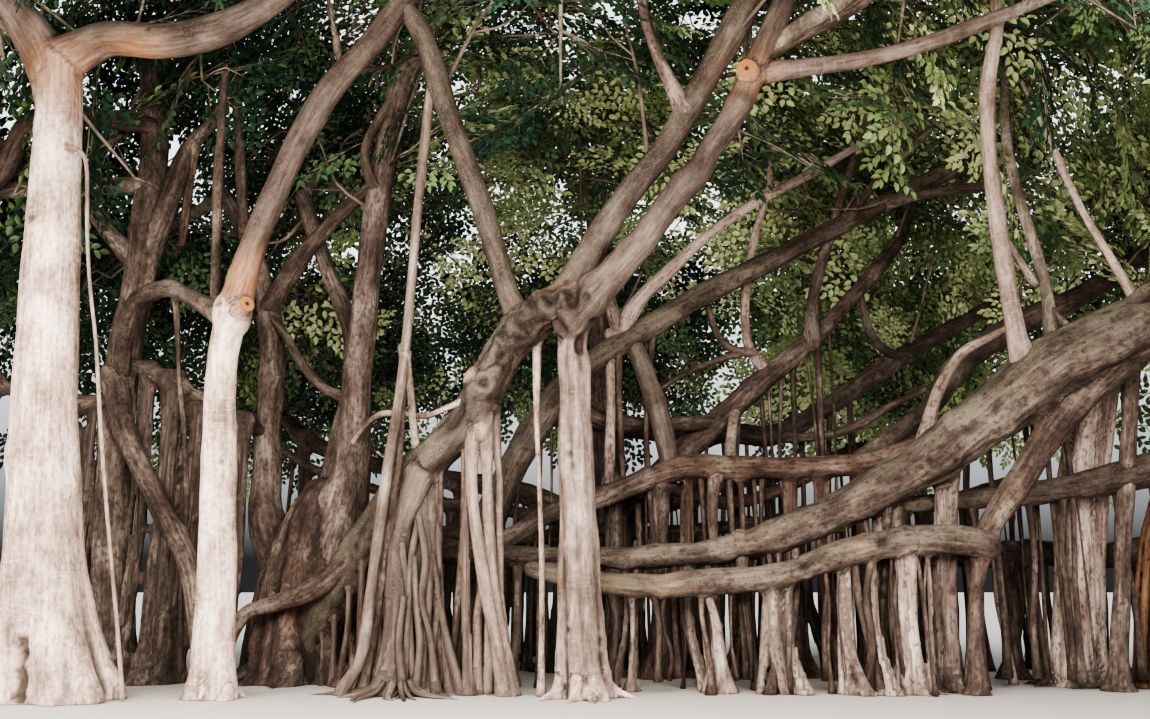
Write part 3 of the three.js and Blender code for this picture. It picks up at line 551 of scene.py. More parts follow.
def bark_finish(name, tones, stain_and_sunlit_tones, moss, crevice_shade, rough, ring_share=0.0, pit_share=0.5):
    """Living bark: fibres along the limb, faint rings across it, blotches, stains (painted sunlit patches
    where the stain tones are a sunlit tan), moss, and painted shade in crevices; the pale and dark shares
    partly paint sun and shade.
    """
    finish, nodes, links, shader = new_finish(name)
    layers = {}
    for layer in ("grain", "marks", "shades"):
        layers[layer] = nodes.new("ShaderNodeAttribute")
        layers[layer].attribute_name = layer
    mark, shade = (nodes.new("ShaderNodeSeparateXYZ") for _ in range(2))
    links.new(layers["marks"].outputs["Vector"], mark.inputs[0])
    links.new(layers["shades"].outputs["Vector"], shade.inputs[0])
    stain_and_sun_mask, mossed, darkened = mark.outputs

    def noise(scales, detail):
        stretch = nodes.new("ShaderNodeVectorMath")
        stretch.operation = "MULTIPLY"
        stretch.inputs[1].default_value = scales
        links.new(layers["grain"].outputs["Vector"], stretch.inputs[0])
        pattern = nodes.new("ShaderNodeTexNoise")
        pattern.inputs["Scale"].default_value = 1
        pattern.inputs["Detail"].default_value = detail
        pattern.inputs["Roughness"].default_value = 0.62
        links.new(stretch.outputs[0], pattern.inputs["Vector"])
        return pattern.outputs["Fac"]

    def combined(kind, first, second):
        step = nodes.new("ShaderNodeMath")
        step.operation = kind
        for socket, value in zip(step.inputs, (first, second)):
            if isinstance(value, float):
                socket.default_value = value
            else:
                links.new(value, socket)
        return step.outputs[0]

    def plus(first, second):
        return combined("ADD", first, second)

    def times(first, second):
        return combined("MULTIPLY", first, second)

    def ramp(value, low, high, low_tone, high_tone):
        return tone_ramp(nodes, links, value, ((low, low_tone), (high, high_tone)))

    def covered(below, above, share):
        mix = nodes.new("ShaderNodeMix")
        mix.data_type = "RGBA"
        links.new(share, mix.inputs["Factor"])
        links.new(below, mix.inputs["A"])
        links.new(above, mix.inputs["B"])
        return mix.outputs["Result"]

    fibres = noise((19, 19, 1.7), 6)
    blotches = noise((2.1, 2.1, 1.1), 5)
    rings = noise((0.9, 0.9, 9), 2)
    flecks = noise((17, 17, 11), 6)
    specks = noise((42, 42, 34), 3)
    blend = plus(plus(times(blotches, 0.5), times(fibres, 0.3)), times(flecks, 0.2))
    colour = tone_ramp(nodes, links, blend, list(zip(TONE_STOPS, tones)))
    ring_stops = ((0.555, NOTHING), (0.575, (ring_share,) * 3), (0.595, NOTHING))
    ring_lines = tone_ramp(nodes, links, rings, ring_stops)
    colour = covered(colour, ramp(flecks, 0.3, 0.7, tones[2], tones[3]), ring_lines)
    # Pale and dark shares: other bark tones, partly painted sunlight and painted shade.
    for socket, others in zip(shade.outputs, (PALE_TONES, DARK_TONES, RED_TONES)):
        colour = covered(colour, tone_ramp(nodes, links, blend, list(zip(TONE_STOPS, others))), socket)
    pits = ramp(flecks, 0.38, 0.46, (pit_share,) * 3, NOTHING)
    colour = covered(colour, ramp(fibres, 0.3, 0.7, tones[0], tones[0]), pits)
    # Stains; where the stain tones are a sunlit tan, as on mossy bark, these are painted sunlit patches.
    stain_and_sun_share = times(stain_and_sun_mask, plus(times(flecks, 1.3), 0.25))
    colour = covered(colour, ramp(fibres, 0.35, 0.65, *stain_and_sunlit_tones), stain_and_sun_share)
    patchy = plus(times(combined("SUBTRACT", flecks, 0.5), 1.6), combined("SUBTRACT", blotches, 0.5))
    moss_share = ramp(plus(mossed, patchy), 0.34, 0.7, NOTHING, (0.85, 0.85, 0.85))
    colour = covered(colour, ramp(blotches, 0.4, 0.6, *moss), moss_share)
    lichen_share = times(ramp(specks, 0.59, 0.64, NOTHING, ALL), times(mossed, 0.9))
    colour = covered(colour, ramp(blotches, 0.4, 0.6, *LICHEN), lichen_share)
    # Painted shade: crevices and hollows are darkened towards the crevice shade tone.
    depth = times(darkened, plus(times(flecks, 0.6), 0.5))
    colour = covered(colour, ramp(fibres, 0.3, 0.8, crevice_shade, crevice_shade), depth)
    links.new(colour, shader.inputs["Base Color"])
    roughness = ramp(fibres, 0.3, 0.7, (rough + 0.1,) * 3, (rough - 0.1,) * 3)
    links.new(roughness, shader.inputs["Roughness"])
    shader.inputs["Specular IOR Level"].default_value = 0.28
    bump = nodes.new("ShaderNodeBump")
    bump.inputs["Distance"].default_value = 0.03
    bump.inputs["Strength"].default_value = 0.8
    height = plus(plus(times(fibres, 0.55), times(flecks, 0.55)), times(specks, 0.12))
    links.new(height, bump.inputs["Height"])
    links.new(bump.outputs[0], shader.inputs["Normal"])
    return finish


RUFOUS = ((0.22, 0.10, 0.05), (0.40, 0.22, 0.12))
MOSS = ((0.048, 0.042, 0.028), (0.125, 0.112, 0.078))
grey_bark = bark_finish(
    "grey_bark", ((0.036, 0.024, 0.02), (0.08, 0.056, 0.045), (0.145, 0.108, 0.09), (0.29, 0.235, 0.20)),
    RUFOUS, MOSS, (0.022, 0.014, 0.01), 0.84)

OLD_TRUNK = [(0, 0, -0.4, 0.95), (-0.04, 0, 0.8, 0.76), (0, 0, 1.65, 0.7), (0.06, 0.02, 2.5, 0.56),
    (0.12, 0.04, 3.1, 0.27)]
OLD_LEFT_LIMB = [(-0.1, 0, 0.9, 0.32), (-0.78, 0.1, 2.5, 0.29), (-0.95, 0.4, 3.9, 0.23),
    (-1.1, 0.9, 6.2, 0.22), (-1.8, 1.5, 8, 0.19), (-2.6, 2.2, 9.3, 0.17)]
OLD_UPRIGHT_LIMB = [(0.15, -0.1, 1.3, 0.46), (0.45, -0.15, 2.4, 0.42), (0.64, -0.2, 3.4, 0.32),
    (0.7, -0.2, 4.4, 0.255), (0.76, -0.2, 5.6, 0.235), (0.97, -0.2, 8.3, 0.23), (1.25, -0.2, 10.3, 0.205),
    (1.7, -0.2, 11.4, 0.18)]
BENDING_LIMB = [(0.06, 0.15, 2, 0.28), (0.38, 0.5, 4.25, 0.2), (0.42, 0.8, 5.85, 0.18),
    (-0.2, 1, 7.45, 0.165), (-0.77, 1.3, 8.9, 0.15)]
old_trunk_bark = grow_bark("old_trunk_bark", grey_bark, [
    dict(route=OLD_TRUNK, ribs=13, depth=0.24, toes=0.25, flare=0.2, seed=3, moss=0.2, dark=0.8, red=0.3),
    dict(route=OLD_LEFT_LIMB, ribs=5, depth=0.12, collar=0.35, seed=4, moss=0.3),
    dict(route=OLD_UPRIGHT_LIMB, ribs=5, depth=0.12, collar=0.35, seed=5, moss=0.2),
    dict(route=BENDING_LIMB, ribs=4, depth=0.1, collar=0.3, seed=6, moss=0.3),
    *strand_limbs(OLD_TRUNK, 34, 0.34, 1.0, 1, 0.1, 7, flare=0.9, flare_height=0.3,
                  moss=0.1, dark=0.7, red=0.3),
    *foot_roots(0, 0, 18, 0.95, 1.9, 0.075, 8, dark=0.9)],
    voxel=0.055, seed=1, stains_and_sunlit_patches=[(0.3, -0.6, 1.2, 0.4)])
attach(old_trunk_bark, TREE)
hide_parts("old_trunk", "old_left_limb", "old_upright_limb", "bending_limb")


# The middle of the front, grown into one. A mossy limb climbs from the foot of the old trunk to a
# knotted bridge of fused limbs, which stands on a straight pillar and a twist of strands, over a
# curtain of roots. Two great limbs rise from the bridge to the right and one crosses to the left. The
# bark is smooth and pale; the limbs are given darker, mossier tones, which also paint the shade on them.
LOW_LEFT_LIMB = [(0.1, -0.2, 0.5, 0.43), (1.27, -1.5, 2.25, 0.34), (1.87, -2, 3, 0.31),
    (2.45, -2.4, 3.57, 0.305), (3.1, -2.7, 4.4, 0.3), (3.4, -2.72, 4.95, 0.27)]
ROOT_CURTAIN = [(2.03, -2.5, -0.4, 0.23), (1.99, -2.48, 1.3, 0.21), (1.95, -2.4, 2.5, 0.23),
    (2, -2.15, 3.25, 0.33)]
CENTRE_LEFT_LIMB = [(3.01, -2.7, 4.15, 0.271), (3.44, -2.7, 5.03, 0.289), (3.98, -2.7, 5.61, 0.291),
    (4.47, -2.75, 6.12, 0.276), (5.07, -2.8, 7.16, 0.209), (5.92, -2.9, 8.23, 0.202),
    (6.39, -3, 9.04, 0.211), (6.99, -3.2, 10.06, 0.219), (7.49, -3.3, 11.19, 0.189)]
BRIDGE = [(3.25, -2.75, 4.75, 0.16), (3.62, -2.85, 5.3, 0.19), (4.1, -2.95, 5.6, 0.21),
    (4.55, -3, 5.75, 0.2)]
CENTRE_PILLAR = [(4.68, -3, -0.4, 0.33), (4.57, -3, 1.35, 0.3), (4.53, -3, 2.77, 0.262),
    (4.48, -3, 4.24, 0.24), (4.48, -2.9, 5.8, 0.23)]
CENTRE_RIGHT_LIMB = [(4.46, -3.05, 5.36, 0.254), (4.83, -3.15, 5.84, 0.239), (5.43, -3.3, 6.49, 0.216),
    (5.94, -3.35, 7.2, 0.188), (6.34, -3.4, 7.65, 0.211), (6.51, -3.42, 7.99, 0.181),
    (6.95, -3.5, 8.63, 0.212), (7.31, -3.6, 9.41, 0.212), (7.71, -3.65, 10.34, 0.183),
    (8.2, -3.7, 11.29, 0.154)]
UPPER_RIGHT_LIMB = [(7.15, -3.56, 9.15, 0.16), (7.91, -3.62, 9.23, 0.138), (8.79, -3.7, 9.32, 0.128),
    (9.83, -3.8, 9.56, 0.12), (11, -3.95, 9.95, 0.108)]
CROSSING_LIMB = [(3.76, -2.7, 5.3, 0.205), (3.43, -2.8, 6.06, 0.168), (3.04, -3, 7.35, 0.17),
    (2.58, -3.2, 8.57, 0.175), (2.19, -3.4, 9.79, 0.17), (1.85, -3.56, 10.3, 0.165)]
PILLAR_HEAD = [(3.1, -2.72, 4.55, 0.27), (3.07, -2.72, 4.2, 0.23), (3.09, -2.7, 3.75, 0.13)]
CURTAIN_SETBACK = 0.3
BEHIND_CURTAIN = [(x, y + CURTAIN_SETBACK, z, radius) for x, y, z, radius in ROOT_CURTAIN]
PILLAR_STRANDS = [
    ("", [(3.01, -2.7, 4.32, 0.181), (2.97, -2.7, 3.24, 0.082), (3.01, -2.7, 2.62, 0.081),
        (3.1, -2.7, 2.06, 0.088), (3.2, -2.7, 1.49, 0.095), (3.33, -2.7, 0.89, 0.094),
        (3.47, -2.7, 0.19, 0.115), (3.51, -2.7, -0.36, 0.128)]),
    ("", [(3.12, -2.65, 4.33, 0.181), (3.19, -2.65, 3.24, 0.069), (3.21, -2.65, 2.62, 0.077),
        (3.26, -2.65, 2.06, 0.081), (3.33, -2.65, 1.49, 0.08), (3.44, -2.65, 0.83, 0.087),
        (3.56, -2.65, 0.13, 0.115), (3.61, -2.65, -0.37, 0.129)]),
    ("", [(3.21, -2.55, 4.32, 0.137), (3.36, -2.55, 3.25, 0.045), (3.37, -2.55, 2.63, 0.048),
        (3.39, -2.55, 2.07, 0.053), (3.41, -2.55, 1.41, 0.059), (3.48, -2.55, 0.77, 0.066)]),
    ("", [(3.15, -2.5, 1.6, 0.059), (3.07, -2.5, 1.05, 0.073), (3.07, -2.5, 0.48, 0.08),
        (3.06, -2.5, -0.38, 0.101)]),
    ("", [(3.21, -2.42, 1.34, 0.052), (3.23, -2.42, 0.76, 0.066), (3.21, -2.42, -0.39, 0.087)])]
CURTAIN_STRANDS = [
    ("", [(2.29, -2.35, 3.5, 0.229), (2.04, -2.4, 2.96, 0.211), (1.88, -2.45, 2.36, 0.165),
        (1.85, -2.5, 1.63, 0.163), (1.85, -2.5, 0.91, 0.176), (1.82, -2.5, 0.2, 0.218),
        (1.81, -2.5, -0.38, 0.26)]),
    ("", [(2.02, -2.22, 3.13, 0.107), (1.94, -2.45, 2.51, 0.054), (1.96, -2.62, 2.03, 0.053),
        (2.07, -2.62, 1.46, 0.053), (2.1, -2.62, 0.89, 0.055), (2.16, -2.62, 0.32, 0.058),
        (2.33, -2.62, -0.29, 0.072)]),
    ("", [(2.15, -2.22, 3.13, 0.107), (2.15, -2.45, 2.51, 0.06), (2.1, -2.66, 2.03, 0.053),
        (2.07, -2.66, 1.46, 0.05), (2.05, -2.66, 0.75, 0.055), (2.01, -2.66, -0.28, 0.072)]),
    ("", [(2.22, -2.22, 3.13, 0.122), (2.24, -2.45, 2.51, 0.063), (2.33, -2.6, 1.92, 0.071),
        (2.35, -2.6, 1.31, 0.064), (2.3, -2.6, 0.7, 0.064), (2.26, -2.6, -0.29, 0.072)]),
    ("", [(2.33, -2.22, 3.16, 0.122), (2.35, -2.45, 2.36, 0.066), (2.41, -2.5, 1.77, 0.062),
        (2.48, -2.5, 1.2, 0.071), (2.57, -2.5, 0.6, 0.08), (2.76, -2.5, -0.3, 0.101)]),
    ("", [(2.19, -2.7, 2.57, 0.05), (2.31, -2.7, 1.92, 0.059), (2.27, -2.7, 1.34, 0.052),
        (2.42, -2.7, 0.75, 0.052), (2.54, -2.7, -0.28, 0.071)]),
    ("", [(2.38, -2.58, 2.04, 0.044), (2.49, -2.58, 1.34, 0.053), (2.42, -2.58, 0.6, 0.058),
        (2.4, -2.58, -0.29, 0.072)]),
    ("", [(2.14, -2.72, 1.97, 0.044), (2.19, -2.72, 1.34, 0.044), (2.26, -2.72, 0.64, 0.049),
        (2.17, -2.72, -0.28, 0.063)]),
    ("", [(2.47, -2.6, 1.49, 0.044), (2.64, -2.6, 0.77, 0.058), (2.82, -2.6, 0.15, 0.072),
        (2.99, -2.6, -0.29, 0.065)]),
    ("", [(2.01, -2.74, 1.4, 0.044), (1.96, -2.74, 0.64, 0.058), (2.11, -2.74, -0.27, 0.063)]),
    ("", [(1.78, -2.62, 1.34, 0.073), (1.73, -2.62, 0.63, 0.073), (1.61, -2.62, -0.29, 0.072)]),
    ("", [(2.2, -2.22, 2.83, 0.091), (2.19, -2.45, 1.92, 0.089), (2.2, -2.3, 1.05, 0.097),
        (2.2, -2.3, -0.32, 0.117)]),
    ("", [(2.38, -2.22, 2.83, 0.091), (2.45, -2.45, 1.92, 0.074), (2.5, -2.25, 1.04, 0.075),
        (2.61, -2.25, -0.33, 0.103)])]
LIMB_HOLLOWS = [(2.66, -2.8, 3.94, 0.2, -0.12), (2.8, -2.85, 4.15, 0.13, -0.08)]
FACE_LEFT, FACE_FORWARD = 0.08, 0.18
LOW_LEFT_FACE = [(x - FACE_LEFT, y - FACE_FORWARD, z, radius) for x, y, z, radius in LOW_LEFT_LIMB]
CENTRE_STUB = [(7.12, -3.5, 9.12, 0.18), (7.06, -3.84, 9.1, 0.165)]
BRIDGE_KNOTS = [
    (4.5, -3.2, 5.67, 0.108, -0.119), (4.28, -3.2, 5.38, 0.095, -0.104), (4.63, -3.2, 5.06, 0.121, -0.134),
    (4.07, -3.2, 5.14, 0.081, -0.089), (4.38, -3.2, 5.83, 0.081, -0.089), (4.72, -3.2, 5.44, 0.05, -0.055),
    (3.95, -3.05, 5.8, 0.2, 0.13), (4.3, -3.15, 5.5, 0.17, 0.12), (4.75, -3.2, 5.6, 0.16, 0.1),
    (3.7, -3.0, 5.3, 0.18, 0.12), (4.15, -3.2, 5.75, 0.1, -0.13), (4.5, -3.2, 5.8, 0.1, -0.12),
    (3.85, -3.1, 5.45, 0.09, -0.1), (4.35, -3.2, 5.25, 0.08, -0.08), (4.6, -3.2, 6.1, 0.16, 0.1),
    (3.35, -3.05, 4.3, 0.13, 0.07), (6.1, -3.7, 7.45, 0.2, 0.12), (7.0, -3.8, 8.6, 0.15, 0.1),
    (5.2, -3.5, 6.5, 0.12, 0.06)]


RANDOM_FACTOR, RANDOM_STEP, RANDOM_SPAN = 1664525, 1013904223, 2 ** 32


def random_row(seed):
    """A repeatable row of numbers from 0 to 1."""
    state = seed
    while True:
        state = (state * RANDOM_FACTOR + RANDOM_STEP) % RANDOM_SPAN
        yield state / RANDOM_SPAN


LUMP_FORWARD = 0.35
LUMP_SIZES = (0.7, 1.4)


def lumps_along(route, count, across, size, seed):
    """Craggy lumps on the front of a limb, every second one with a hole beside it, painted dark as shade."""
    draw = np.random.default_rng(seed)
    lumps = []
    for n in range(count):
        middle = line_through(route, np.array([draw.uniform(0, 1)]))[0][0]
        x, y, z = middle + across * draw.normal(0, 1, 3)
        reach = size * draw.uniform(*LUMP_SIZES)
        lumps.append((x, y - LUMP_FORWARD, z, reach, 0.6 * reach))
        if n % 2 == 0:
            lumps.append((x + reach, y - LUMP_FORWARD, z - 0.5 * reach, 0.8 * reach, -0.95 * reach))
    return lumps


KNOT_RING = np.arange(12) * math.pi / 6


def ringed_knot(x, y, z, across):
    """The scar of a lost branch: a raised ring round a hollow."""
    ring = [(x + across * math.cos(a), y, z + across * math.sin(a), 0.5 * across, 0.36 * across)
            for a in KNOT_RING]
    return [*ring, (x, y, z, 0.65 * across, -0.75 * across)]


SHADE_SHARE = 0.5


def traced_limbs(rows, seed, **looks):
    """Limbs with the shade that the bark of each leans to."""
    return [dict(route=route, ribs=2, seed=seed + n, **({shade: SHADE_SHARE} if shade else {}), **looks)
            for n, (shade, route) in enumerate(rows)]


def prop_limbs(route, count, start, end, girth, stray, seed, strands=3, **looks):
    """Roots that have dropped from a bough to the ground, each a few strands wound together."""
    draw = random_row(seed)
    props = []
    for n in range(count):
        place = start + (end - start) * (n + 0.2 + 0.6 * next(draw)) / count
        top = line_through(route, np.array([place]))[0][0]
        foot = top[:2] + 2.6 * stray * (np.array([next(draw), next(draw)]) - 0.5)
        radius = girth * (0.75 + 0.5 * next(draw))
        bend = (top[0], top[1], top[2] * 0.45, radius * 0.85)
        line = [(*foot, -BELOW_GROUND, radius), bend, (*top, radius)]
        props += strand_limbs(line, strands, radius * 0.8, radius * 1.5, 0.9, 0.6, seed * 7 + n,
                              head=1.3, flare=1.6, flare_height=0.16, **looks)
    return props


PALE_MOSS = ((0.05, 0.042, 0.03), (0.115, 0.098, 0.074))
pale_bark = bark_finish(
    "pale_bark", PALE_TONES, RUFOUS, PALE_MOSS, (0.022, 0.014, 0.01), 0.68, ring_share=0.5, pit_share=0.3)
centre_bark = grow_bark("centre_bark", pale_bark, [
    dict(route=LOW_LEFT_LIMB, ribs=6, depth=0.12, seed=8, moss=0.85, gnarl=1.6, dark=1),
    dict(route=CENTRE_LEFT_LIMB, ribs=5, depth=0.1, seed=20, moss=0.6, gnarl=1.2, dark=1),
    *strand_limbs(BRIDGE, 6, 0.2, 0.18, 1, 0.8, 27, depth=0.3, gnarl=4, dark=1, moss=0.9),
    dict(route=CENTRE_PILLAR, ribs=8, depth=0.16, toes=0.4, flare=0.25, flare_height=0.4, head=0.2,
         seed=21, dark=0.65),
    dict(route=CENTRE_RIGHT_LIMB, ribs=5, depth=0.09, seed=22, moss=0.35, dark=0.95),
    dict(route=UPPER_RIGHT_LIMB, ribs=4, collar=0.5, seed=23, moss=0.5, dark=0.7),
    dict(route=CROSSING_LIMB, ribs=4, collar=0.4, seed=24, moss=0.75, dark=1),
    dict(route=PILLAR_HEAD, ribs=3, seed=25, gnarl=1.5, dark=0.5),
    *strand_limbs(BEHIND_CURTAIN, 9, 0.24, 0.42, 0.5, 0.3, 12, flare=0.5, flare_height=0.25,
                  dark=1, moss=0.75),
    *foot_roots(4.66, -3, 9, 0.42, 0.85, 0.075, 15, dark=0.2),
    *foot_roots(3.52, -2.55, 7, 0.2, 0.55, 0.035, 16, rise=0.5, dark=0.7),
    *prop_limbs(LOW_LEFT_FACE, 11, 0, 0.5, 0.06, 0.14, 17, dark=0.9, red=0.3),
    *prop_limbs(LOW_LEFT_LIMB, 6, 0.1, 0.75, 0.055, 0.16, 18, dark=0.8, red=0.3),
    dict(route=CENTRE_STUB, ribs=3, seed=26, moss=0.3, dark=0.4, sawn=True)],
    voxel=0.04, seed=4, loose=[
        *traced_limbs(PILLAR_STRANDS, 250, depth=0.12, flare=0.3, flare_height=0.2, dark=0.6, moss=0.3),
        *traced_limbs(CURTAIN_STRANDS, 270, depth=0.1, flare=0.5, flare_height=0.18, dark=0.87, moss=0.58),
        *foot_roots(1.93, -2.55, 24, 0.5, 1.3, 0.042, 14, rise=0.4, dark=0.9),
        *foot_roots(2.1, -2.6, 14, 0.3, 0.8, 0.03, 13, rise=0.4, dark=0.7)],
    knots=[*BRIDGE_KNOTS, *lumps_along(BRIDGE, 42, (0.12, 0, 0.17), 0.07, 29),
           *ringed_knot(3.15, -3, 4.51, 0.12), *LIMB_HOLLOWS],
    stains_and_sunlit_patches=[(4.1, -3.0, 5.9, 0.3), (7.1, -3.5, 9.1, 0.4)])
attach(centre_bark, TREE)
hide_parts("low_left_limb", "root_curtain", "centre_left_limb", "centre_pillar",
            "centre_right_limb", "upper_right_limb", "crossing_limb", "strand_pillar")


# The two daughter trunks on the left: aerial roots grown to full trunks, round and smooth, with long
# shallow flutes that deepen to toes at the ground. One sends a bough across the top, the other leans
# away to the right.
LEFT_TRUNK = [(-2.72, -3.3, -0.4, 0.65), (-2.95, -3.3, 1.35, 0.585), (-3.09, -3.3, 2.75, 0.486),
    (-3.27, -3.3, 5.69, 0.414), (-3.4, -3.3, 8.36, 0.34), (-3.46, -3.3, 9.4, 0.33)]
LEFT_SWEEPING_BOUGH = [(-3.45, -3.3, 9.48, 0.3), (-2.67, -3.4, 9.83, 0.262), (-1.78, -3.5, 9.74, 0.26),
    (-0.73, -3.7, 9.9, 0.24), (0.13, -3.9, 10.3, 0.195), (0.68, -4.05, 10.85, 0.17),
    (1.5, -3.9, 11.15, 0.15), (2.36, -3.68, 11.12, 0.135)]
LEFT_UPRIGHT_BOUGH = [(-3.48, -3.3, 9.1, 0.3), (-3.95, -3.45, 10.0, 0.265), (-4.46, -3.7, 10.7, 0.21),
    (-4.85, -4, 11.3, 0.18)]
# A long thin root hangs from the left trunk and has reached the ground.
LEFT_THIN_ROOT = [(-3.14, -3.5, 8.02, 0.051), (-2.84, -3.65, 7.87, 0.033), (-2.73, -3.65, 7.59, 0.03),
    (-2.67, -3.6, 6.68, 0.029), (-2.56, -3.6, 5.84, 0.029), (-2.42, -3.55, 4.96, 0.029),
    (-2.27, -3.55, 3.87, 0.029), (-2.12, -3.5, 2.74, 0.028), (-1.94, -3.5, 1.7, 0.028),
    (-1.77, -3.5, 0.68, 0.03), (-1.63, -3.5, -0.31, 0.041)]
FOOT_CLEFT_HEIGHTS = (0.1, 0.22, 0.34, 0.46, 0.58, 0.7, 0.82)
left_trunk_bark = grow_bark("left_trunk_bark", pale_bark, [
    dict(route=LEFT_TRUNK, ribs=9, depth=0.045, toes=0.26, flare=0.38, flare_height=0.6, seed=31, gnarl=0.5),
    dict(route=LEFT_SWEEPING_BOUGH, ribs=3, depth=0.04, collar=0.25, seed=32, moss=0.45,
         gnarl=0.8, dark=0.95),
    dict(route=LEFT_UPRIGHT_BOUGH, ribs=3, depth=0.04, collar=0.25, seed=33, moss=0.35, dark=0.8)],
    voxel=0.052, seed=5, loose=[
        dict(route=LEFT_THIN_ROOT, ribs=2, seed=36, ring_step=0.14, dark=0.5)],
    # Clefts at the foot of the trunk, each painted dark as shade.
    knots=[(-2.94, -4.1, z, 0.07, -0.13) for z in FOOT_CLEFT_HEIGHTS],
    stains_and_sunlit_patches=[(-3.4, -3.5, 9.2, 0.55), (-2.2, -3.6, 9.4, 0.45)])
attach(left_trunk_bark, TREE)
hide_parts("left_trunk", "left_sweeping_bough", "left_upright_bough")

SECOND_TRUNK = [(-0.55, -3.1, -0.4, 0.31), (-0.59, -3.1, 1.35, 0.27), (-0.67, -3.1, 3.05, 0.254),
    (-0.72, -3.1, 4.68, 0.214), (-0.62, -3.1, 5.6, 0.25)]
SECOND_BOUGH = [(-0.62, -3.1, 5.45, 0.225), (-0.38, -3.2, 6.41, 0.203), (0.11, -3.3, 7.72, 0.197),
    (0.76, -3.4, 8.97, 0.198), (1.44, -3.5, 9.74, 0.2), (2.04, -3.6, 10.61, 0.184),
    (2.57, -3.7, 11.47, 0.155)]
SECOND_STUB = [(-0.6, -3.1, 5.52, 0.15), (-0.33, -3.4, 5.6, 0.125)]
second_trunk_bark = grow_bark("second_trunk_bark", pale_bark, [
    dict(route=SECOND_TRUNK, ribs=6, depth=0.06, toes=0.25, flare=0.25, seed=34, gnarl=0.6),
    *foot_roots(-0.56, -3.1, 7, 0.36, 0.6, 0.045, 37),
    dict(route=SECOND_STUB, ribs=3, seed=38, dark=0.4, sawn=True),
    dict(route=SECOND_BOUGH, ribs=3, depth=0.04, collar=0.3, seed=35, moss=0.45, gnarl=0.8, dark=0.95)],
    voxel=0.04, seed=6, knots=[(-0.72, -3.32, 5.6, 0.15, 0.09), (-0.78, -3.4, 5.62, 0.06, -0.08)],
    stains_and_sunlit_patches=[(-0.4, -3.3, 5.95, 0.5)])
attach(second_trunk_bark, TREE)
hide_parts("second_trunk", "second_bough")

# Where a branch was sawn off, the face of the stub shows orange heartwood with its growth rings.
SAW_CUTS = [(SECOND_STUB, 0.95), (CENTRE_STUB, 0.9)]
FACE_RINGS = np.array([0.0, 0.35, 0.7, 1.0])
FACE_SIDES = 20
FACE_BULGE = 0.035
FACE_DOMING = 0.6


def sawn_face(stub, share):
    """A nearly flat disc over the end of a stub, with each corner's place on it."""
    start, end = (np.array(station[:3]) for station in stub)
    ahead = unit(end - start)
    side = unit(np.cross(ahead, (0, 0, 1.0)))
    up = np.cross(side, ahead)
    angles = np.arange(FACE_SIDES) * 2 * math.pi / FACE_SIDES
    rim = [(ring * math.cos(a), ring * math.sin(a)) for ring in FACE_RINGS[1:] for a in angles]
    places = np.array([(0.0, 0.0)] + rim)
    places *= share * stub[1][3]
    bulge = FACE_BULGE - FACE_DOMING * (places ** 2).sum(axis=1)
    corners = end + places[:, :1] * side + places[:, 1:] * up + bulge[:, None] * ahead
    faces = [(0, 1 + (k + 1) % FACE_SIDES, 1 + k) for k in range(FACE_SIDES)]
    for ring in range(len(FACE_RINGS) - 2):
        first = 1 + ring * FACE_SIDES
        for k in range(FACE_SIDES):
            a, b = first + k, first + (k + 1) % FACE_SIDES
            faces += [(a, b, b + FACE_SIDES), (a, b + FACE_SIDES, a + FACE_SIDES)]
    return corners, np.array(faces), places


heartwood, wood_nodes, wood_links, wood_shader = new_finish("heartwood")
face_place = wood_nodes.new("ShaderNodeAttribute")
face_place.attribute_name = "face_place"
growth = wood_nodes.new("ShaderNodeTexWave")
growth.wave_type = "RINGS"
growth.rings_direction = "Z"
growth.inputs["Scale"].default_value = 14
growth.inputs["Distortion"].default_value = 2.5
growth.inputs["Detail"].default_value = 3
wood_links.new(face_place.outputs["Vector"], growth.inputs["Vector"])
wood_tones = tone_ramp(
    wood_nodes, wood_links, growth.outputs["Fac"], ((0, (0.14, 0.055, 0.02)), (1, (0.42, 0.20, 0.075))))
from_middle = wood_nodes.new("ShaderNodeVectorMath")
from_middle.operation = "LENGTH"
wood_links.new(face_place.outputs["Vector"], from_middle.inputs[0])
pith = tone_ramp(
    wood_nodes, wood_links, from_middle.outputs["Value"], ((0.02, (0.06, 0.03, 0.02)), (0.045, ALL)))
darkened = wood_nodes.new("ShaderNodeMix")
darkened.data_type = "RGBA"
darkened.blend_type = "MULTIPLY"
darkened.inputs["Factor"].default_value = 1
wood_links.new(wood_tones, darkened.inputs["A"])
wood_links.new(pith, darkened.inputs["B"])
wood_links.new(darkened.outputs["Result"], wood_shader.inputs["Base Color"])
wood_shader.inputs["Roughness"].default_value = 0.75

sawn = [sawn_face(stub, share) for stub, share in SAW_CUTS]
face_mesh = mesh_from("sawn_faces", *joined([face[:2] for face in sawn]))
sawn_faces = bpy.data.objects.new("sawn_faces", face_mesh)
face_places = np.vstack([face[2] for face in sawn])
add_marks(sawn_faces.data, "face_place", np.column_stack([face_places, np.zeros(len(face_places))]))
sawn_faces.data.materials.append(heartwood)
bpy.context.scene.collection.objects.link(sawn_faces)
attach(sawn_faces, TREE)


